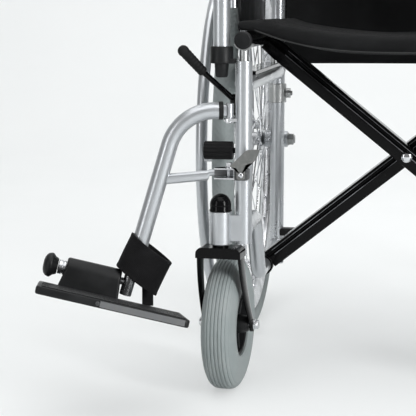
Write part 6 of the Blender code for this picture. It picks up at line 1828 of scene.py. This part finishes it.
@dataclass
class Back:
    """Sling back between the canes, hemmed top and foot, with a flap that hangs behind the seat."""

    half: float = 0.1961
    low: float = 0.4265
    high: float = 0.870
    spacing: float = 0.393
    bend_z: float = 0.600
    lean: float = 7.0
    sag: float = 0.024
    thickness: float = 0.006

    def build(self, shift: float) -> None:
        """Adds the back sling.

        It hangs from the canes in a hollow of sag * (1 - (x / half)^2). Two sine waves crease it, and
        they die out at its edges.
        """
        x = np.linspace(-self.half, self.half, 121)[:, None]
        share, face = np.linspace(0, 1, 100), np.repeat((-1, 1), 100)
        z = self.low + (self.high - self.low) * np.concatenate([share, 1 - share])
        hollow = 1 - (x / self.half) ** 2
        lean = np.maximum(0.0, z - self.bend_z) * math.tan(math.radians(self.lean))
        hem = np.minimum(z - self.low, self.high - z)
        round_off = 1 - np.maximum(0.0, 1 - hem / 0.004) ** 2 * 0.75
        seam = 0.0009 * np.exp(-((hem - 0.024) / 0.0016) ** 2)
        slack = np.sqrt(hollow) * np.minimum(1, hem / 0.05)
        crease = 0.0012 * np.sin(z * 48 + 2.5 * np.sin(x * 14))
        crease = crease + 0.0022 * np.sin((z - np.abs(x) * 0.9) * 33) * np.minimum(1.0, np.abs(x) / 0.05)
        y = self.spacing + shift + lean + self.sag * hollow + crease * slack
        y = y + face * (self.thickness / 2 * round_off - seam)
        sling = soft_piece(Shape().loft(Axis.X.place(x, y, z)).mesh("back_cover"), Look.NYLON, ["back_sling"])
        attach(sling, "right_frame")
        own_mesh(sling)


def project_uv(mesh: bpy.types.Mesh) -> None:
    """Gives a mesh UVs in metres, each face seen along the axis that it faces most."""
    corner = read(mesh.loops, "vertex_index", kind=np.int32).ravel()
    totals = read(mesh.polygons, "loop_total", kind=np.int32).ravel()
    facing = np.repeat(np.abs(read(mesh.polygons, "normal", 3)).argmax(1), totals)
    pairs = np.array([[1, 2], [0, 2], [0, 1]])[facing]
    coords = np.take_along_axis(points_of(mesh)[corner], pairs, 1)
    mesh.uv_layers.new(name="UVMap").data.foreach_set("uv", coords.astype(np.float32).ravel())


# Studio


@dataclass
class Studio:
    """Pale floor, soft light and the photograph's camera."""

    place: tuple[float, float, float] = (0.0281, -1.98154, 0.51212)
    yaw: float = 0.16311
    pitch: float = 0.14807
    focal: float = 1337.66
    picture: float = 416.0
    cove_y: float = 2.2
    cove_bend: float = 1.6
    cove_height: float = 7.0
    cove_width: float = 12.0
    paper: float = 0.5

    def floor(self) -> None:
        """A wide matt floor that runs up into a wall through a quarter circle, faintly uneven in tone.

        The wall is clear from behind, so that the chair's back can be looked at through it.
        """
        bend, wide = self.cove_bend, self.cove_width
        turn = np.linspace(0, math.pi / 2, 25)
        profile = np.vstack([(-wide, 0.0),
                             np.stack([self.cove_y + bend * np.sin(turn), bend * (1 - np.cos(turn))], 1),
                             (self.cove_y + bend, self.cove_height)])
        points = Axis.X.place([-wide, wide], *profile.T[:, :, None]).reshape(-1, 3)
        faces = 2 * np.arange(len(profile) - 1)[:, None] + (0, 1, 3, 2)
        mesh = bpy.data.meshes.new("floor")
        mesh.from_pydata(points.tolist(), [], faces.tolist())
        mesh.shade_smooth()
        floor = new_object("floor", mesh)
        material, tree, shader = blank_material("floor", Roughness=0.7, Specular_IOR_Level=0.15)
        coords = new_node(tree, "TexCoord")
        noise = new_node(tree, "TexNoise", Vector=coords.outputs["Object"], Scale=3.0, Detail=3.0)
        colour = new_node(tree, "Mix", data_type="RGBA", i0=noise.outputs["Fac"], i6=(0.81, 0.83, 0.835, 1),
                          i7=(0.87, 0.885, 0.885, 1))
        tree.links.new(colour.outputs[2], shader.inputs["Base Color"])
        paper = new_node(tree, "Emission", Color=(0.90, 0.92, 0.92, 1))
        path = new_node(tree, "LightPath")
        seen = maths(tree, "MAXIMUM", path.outputs["Is Camera Ray"], path.outputs["Is Glossy Ray"])
        share = maths(tree, "MULTIPLY", seen, self.paper)
        mixed = new_node(tree, "MixShader", i0=share, i1=shader.outputs[0], i2=paper.outputs[0])
        side = new_node(tree, "NewGeometry")
        clear = new_node(tree, "BsdfTransparent")
        front = new_node(tree, "MixShader", i0=side.outputs["Backfacing"], i1=mixed.outputs[0],
                         i2=clear.outputs[0])
        tree.links.new(front.outputs[0], tree.nodes["Material Output"].inputs["Surface"])
        mesh.materials.append(material)

    def light(self, name: str, place: Sequence[float], aim: Sequence[float], size: Sequence[float],
              power: float) -> None:
        """An oblong soft box.

        Args:
            name: The lamp's name.
            place: Where it hangs.
            aim: The point that it faces.
            size: Its width and height.
            power: Its output in watts.
        """
        lamp = bpy.data.lights.new(name, "AREA")
        lamp.shape = "RECTANGLE"
        lamp.size, lamp.size_y = size
        lamp.energy = power
        box = new_object(name, lamp)
        box.location = place
        box.rotation_euler = (Vector(aim) - Vector(place)).to_track_quat("-Z", "Y").to_euler()

    def camera(self) -> None:
        """The photograph's camera."""
        data = bpy.data.cameras.new("camera")
        data.sensor_width = 36.0
        data.lens = self.focal / self.picture * data.sensor_width
        data.clip_end = 100.0
        camera = new_object("camera", data)
        camera.location = self.place
        flat = math.cos(self.pitch)
        forward = Vector((-math.sin(self.yaw) * flat, math.cos(self.yaw) * flat, -math.sin(self.pitch)))
        camera.rotation_euler = forward.to_track_quat("-Z", "Y").to_euler()
        bpy.context.scene.camera = camera

    def build(self) -> None:
        """Sets up floor, world, lights and camera."""
        scene = bpy.context.scene
        scene.view_settings.view_transform = "Standard"
        world = bpy.data.worlds.new("studio")
        world.use_nodes = True
        tree = world.node_tree
        background = tree.nodes["Background"]
        background.inputs["Color"].default_value = (1, 1, 1, 1)
        background.inputs["Strength"].default_value = 0.25
        paper = new_node(tree, "Background", Color=(0.88, 0.90, 0.90, 1), Strength=1.0)
        path = new_node(tree, "LightPath")
        mixed = new_node(tree, "MixShader", i0=path.outputs["Is Camera Ray"], i1=background.outputs[0],
                         i2=paper.outputs[0])
        tree.links.new(mixed.outputs[0], tree.nodes["World Output"].inputs["Surface"])
        scene.world = world
        self.floor()
        self.light("key", (2.0, -2.0, 1.1), (-0.1, 0, 0.35), (0.6, 1.8), 66)
        self.light("fill", (-1.9, -2.2, 1.0), (-0.2, 0, 0.35), (0.6, 1.8), 12)
        self.light("top", (0.3, -0.8, 3.6), (0.1, 0.0, 0), (4.6, 4.6), 122)
        self.light("back", (0, 1.2, 3.6), (0, 4.0, 1.0), (4.0, 3.0), 56)
        self.camera()


def main() -> None:
    """Dresses the wheelchair."""
    logging.basicConfig(level=logging.INFO)
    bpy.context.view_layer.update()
    low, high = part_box("left_rear_tyre")
    wheel, caster, chair = RearWheel(), Caster(), SideFrame()
    shift = (low[1] + high[1]) / 2 - wheel.axle_y
    for label, sign in (("left", 1), ("right", -1)):
        side = Side(label, sign, shift)
        chair.build(side, wheel, caster)
        wheel.build(side, chair.sleeve_face)
        caster.build(side)
        Armrest().build(side, chair.half_width + chair.tube_r)
        Brake().build(side)
        Legrest().build(side, chair)
    CrossBrace().build(shift)
    Seat().build(shift)
    Back().build(shift)
    Studio().build()


if __name__ == "__main__":
    main()
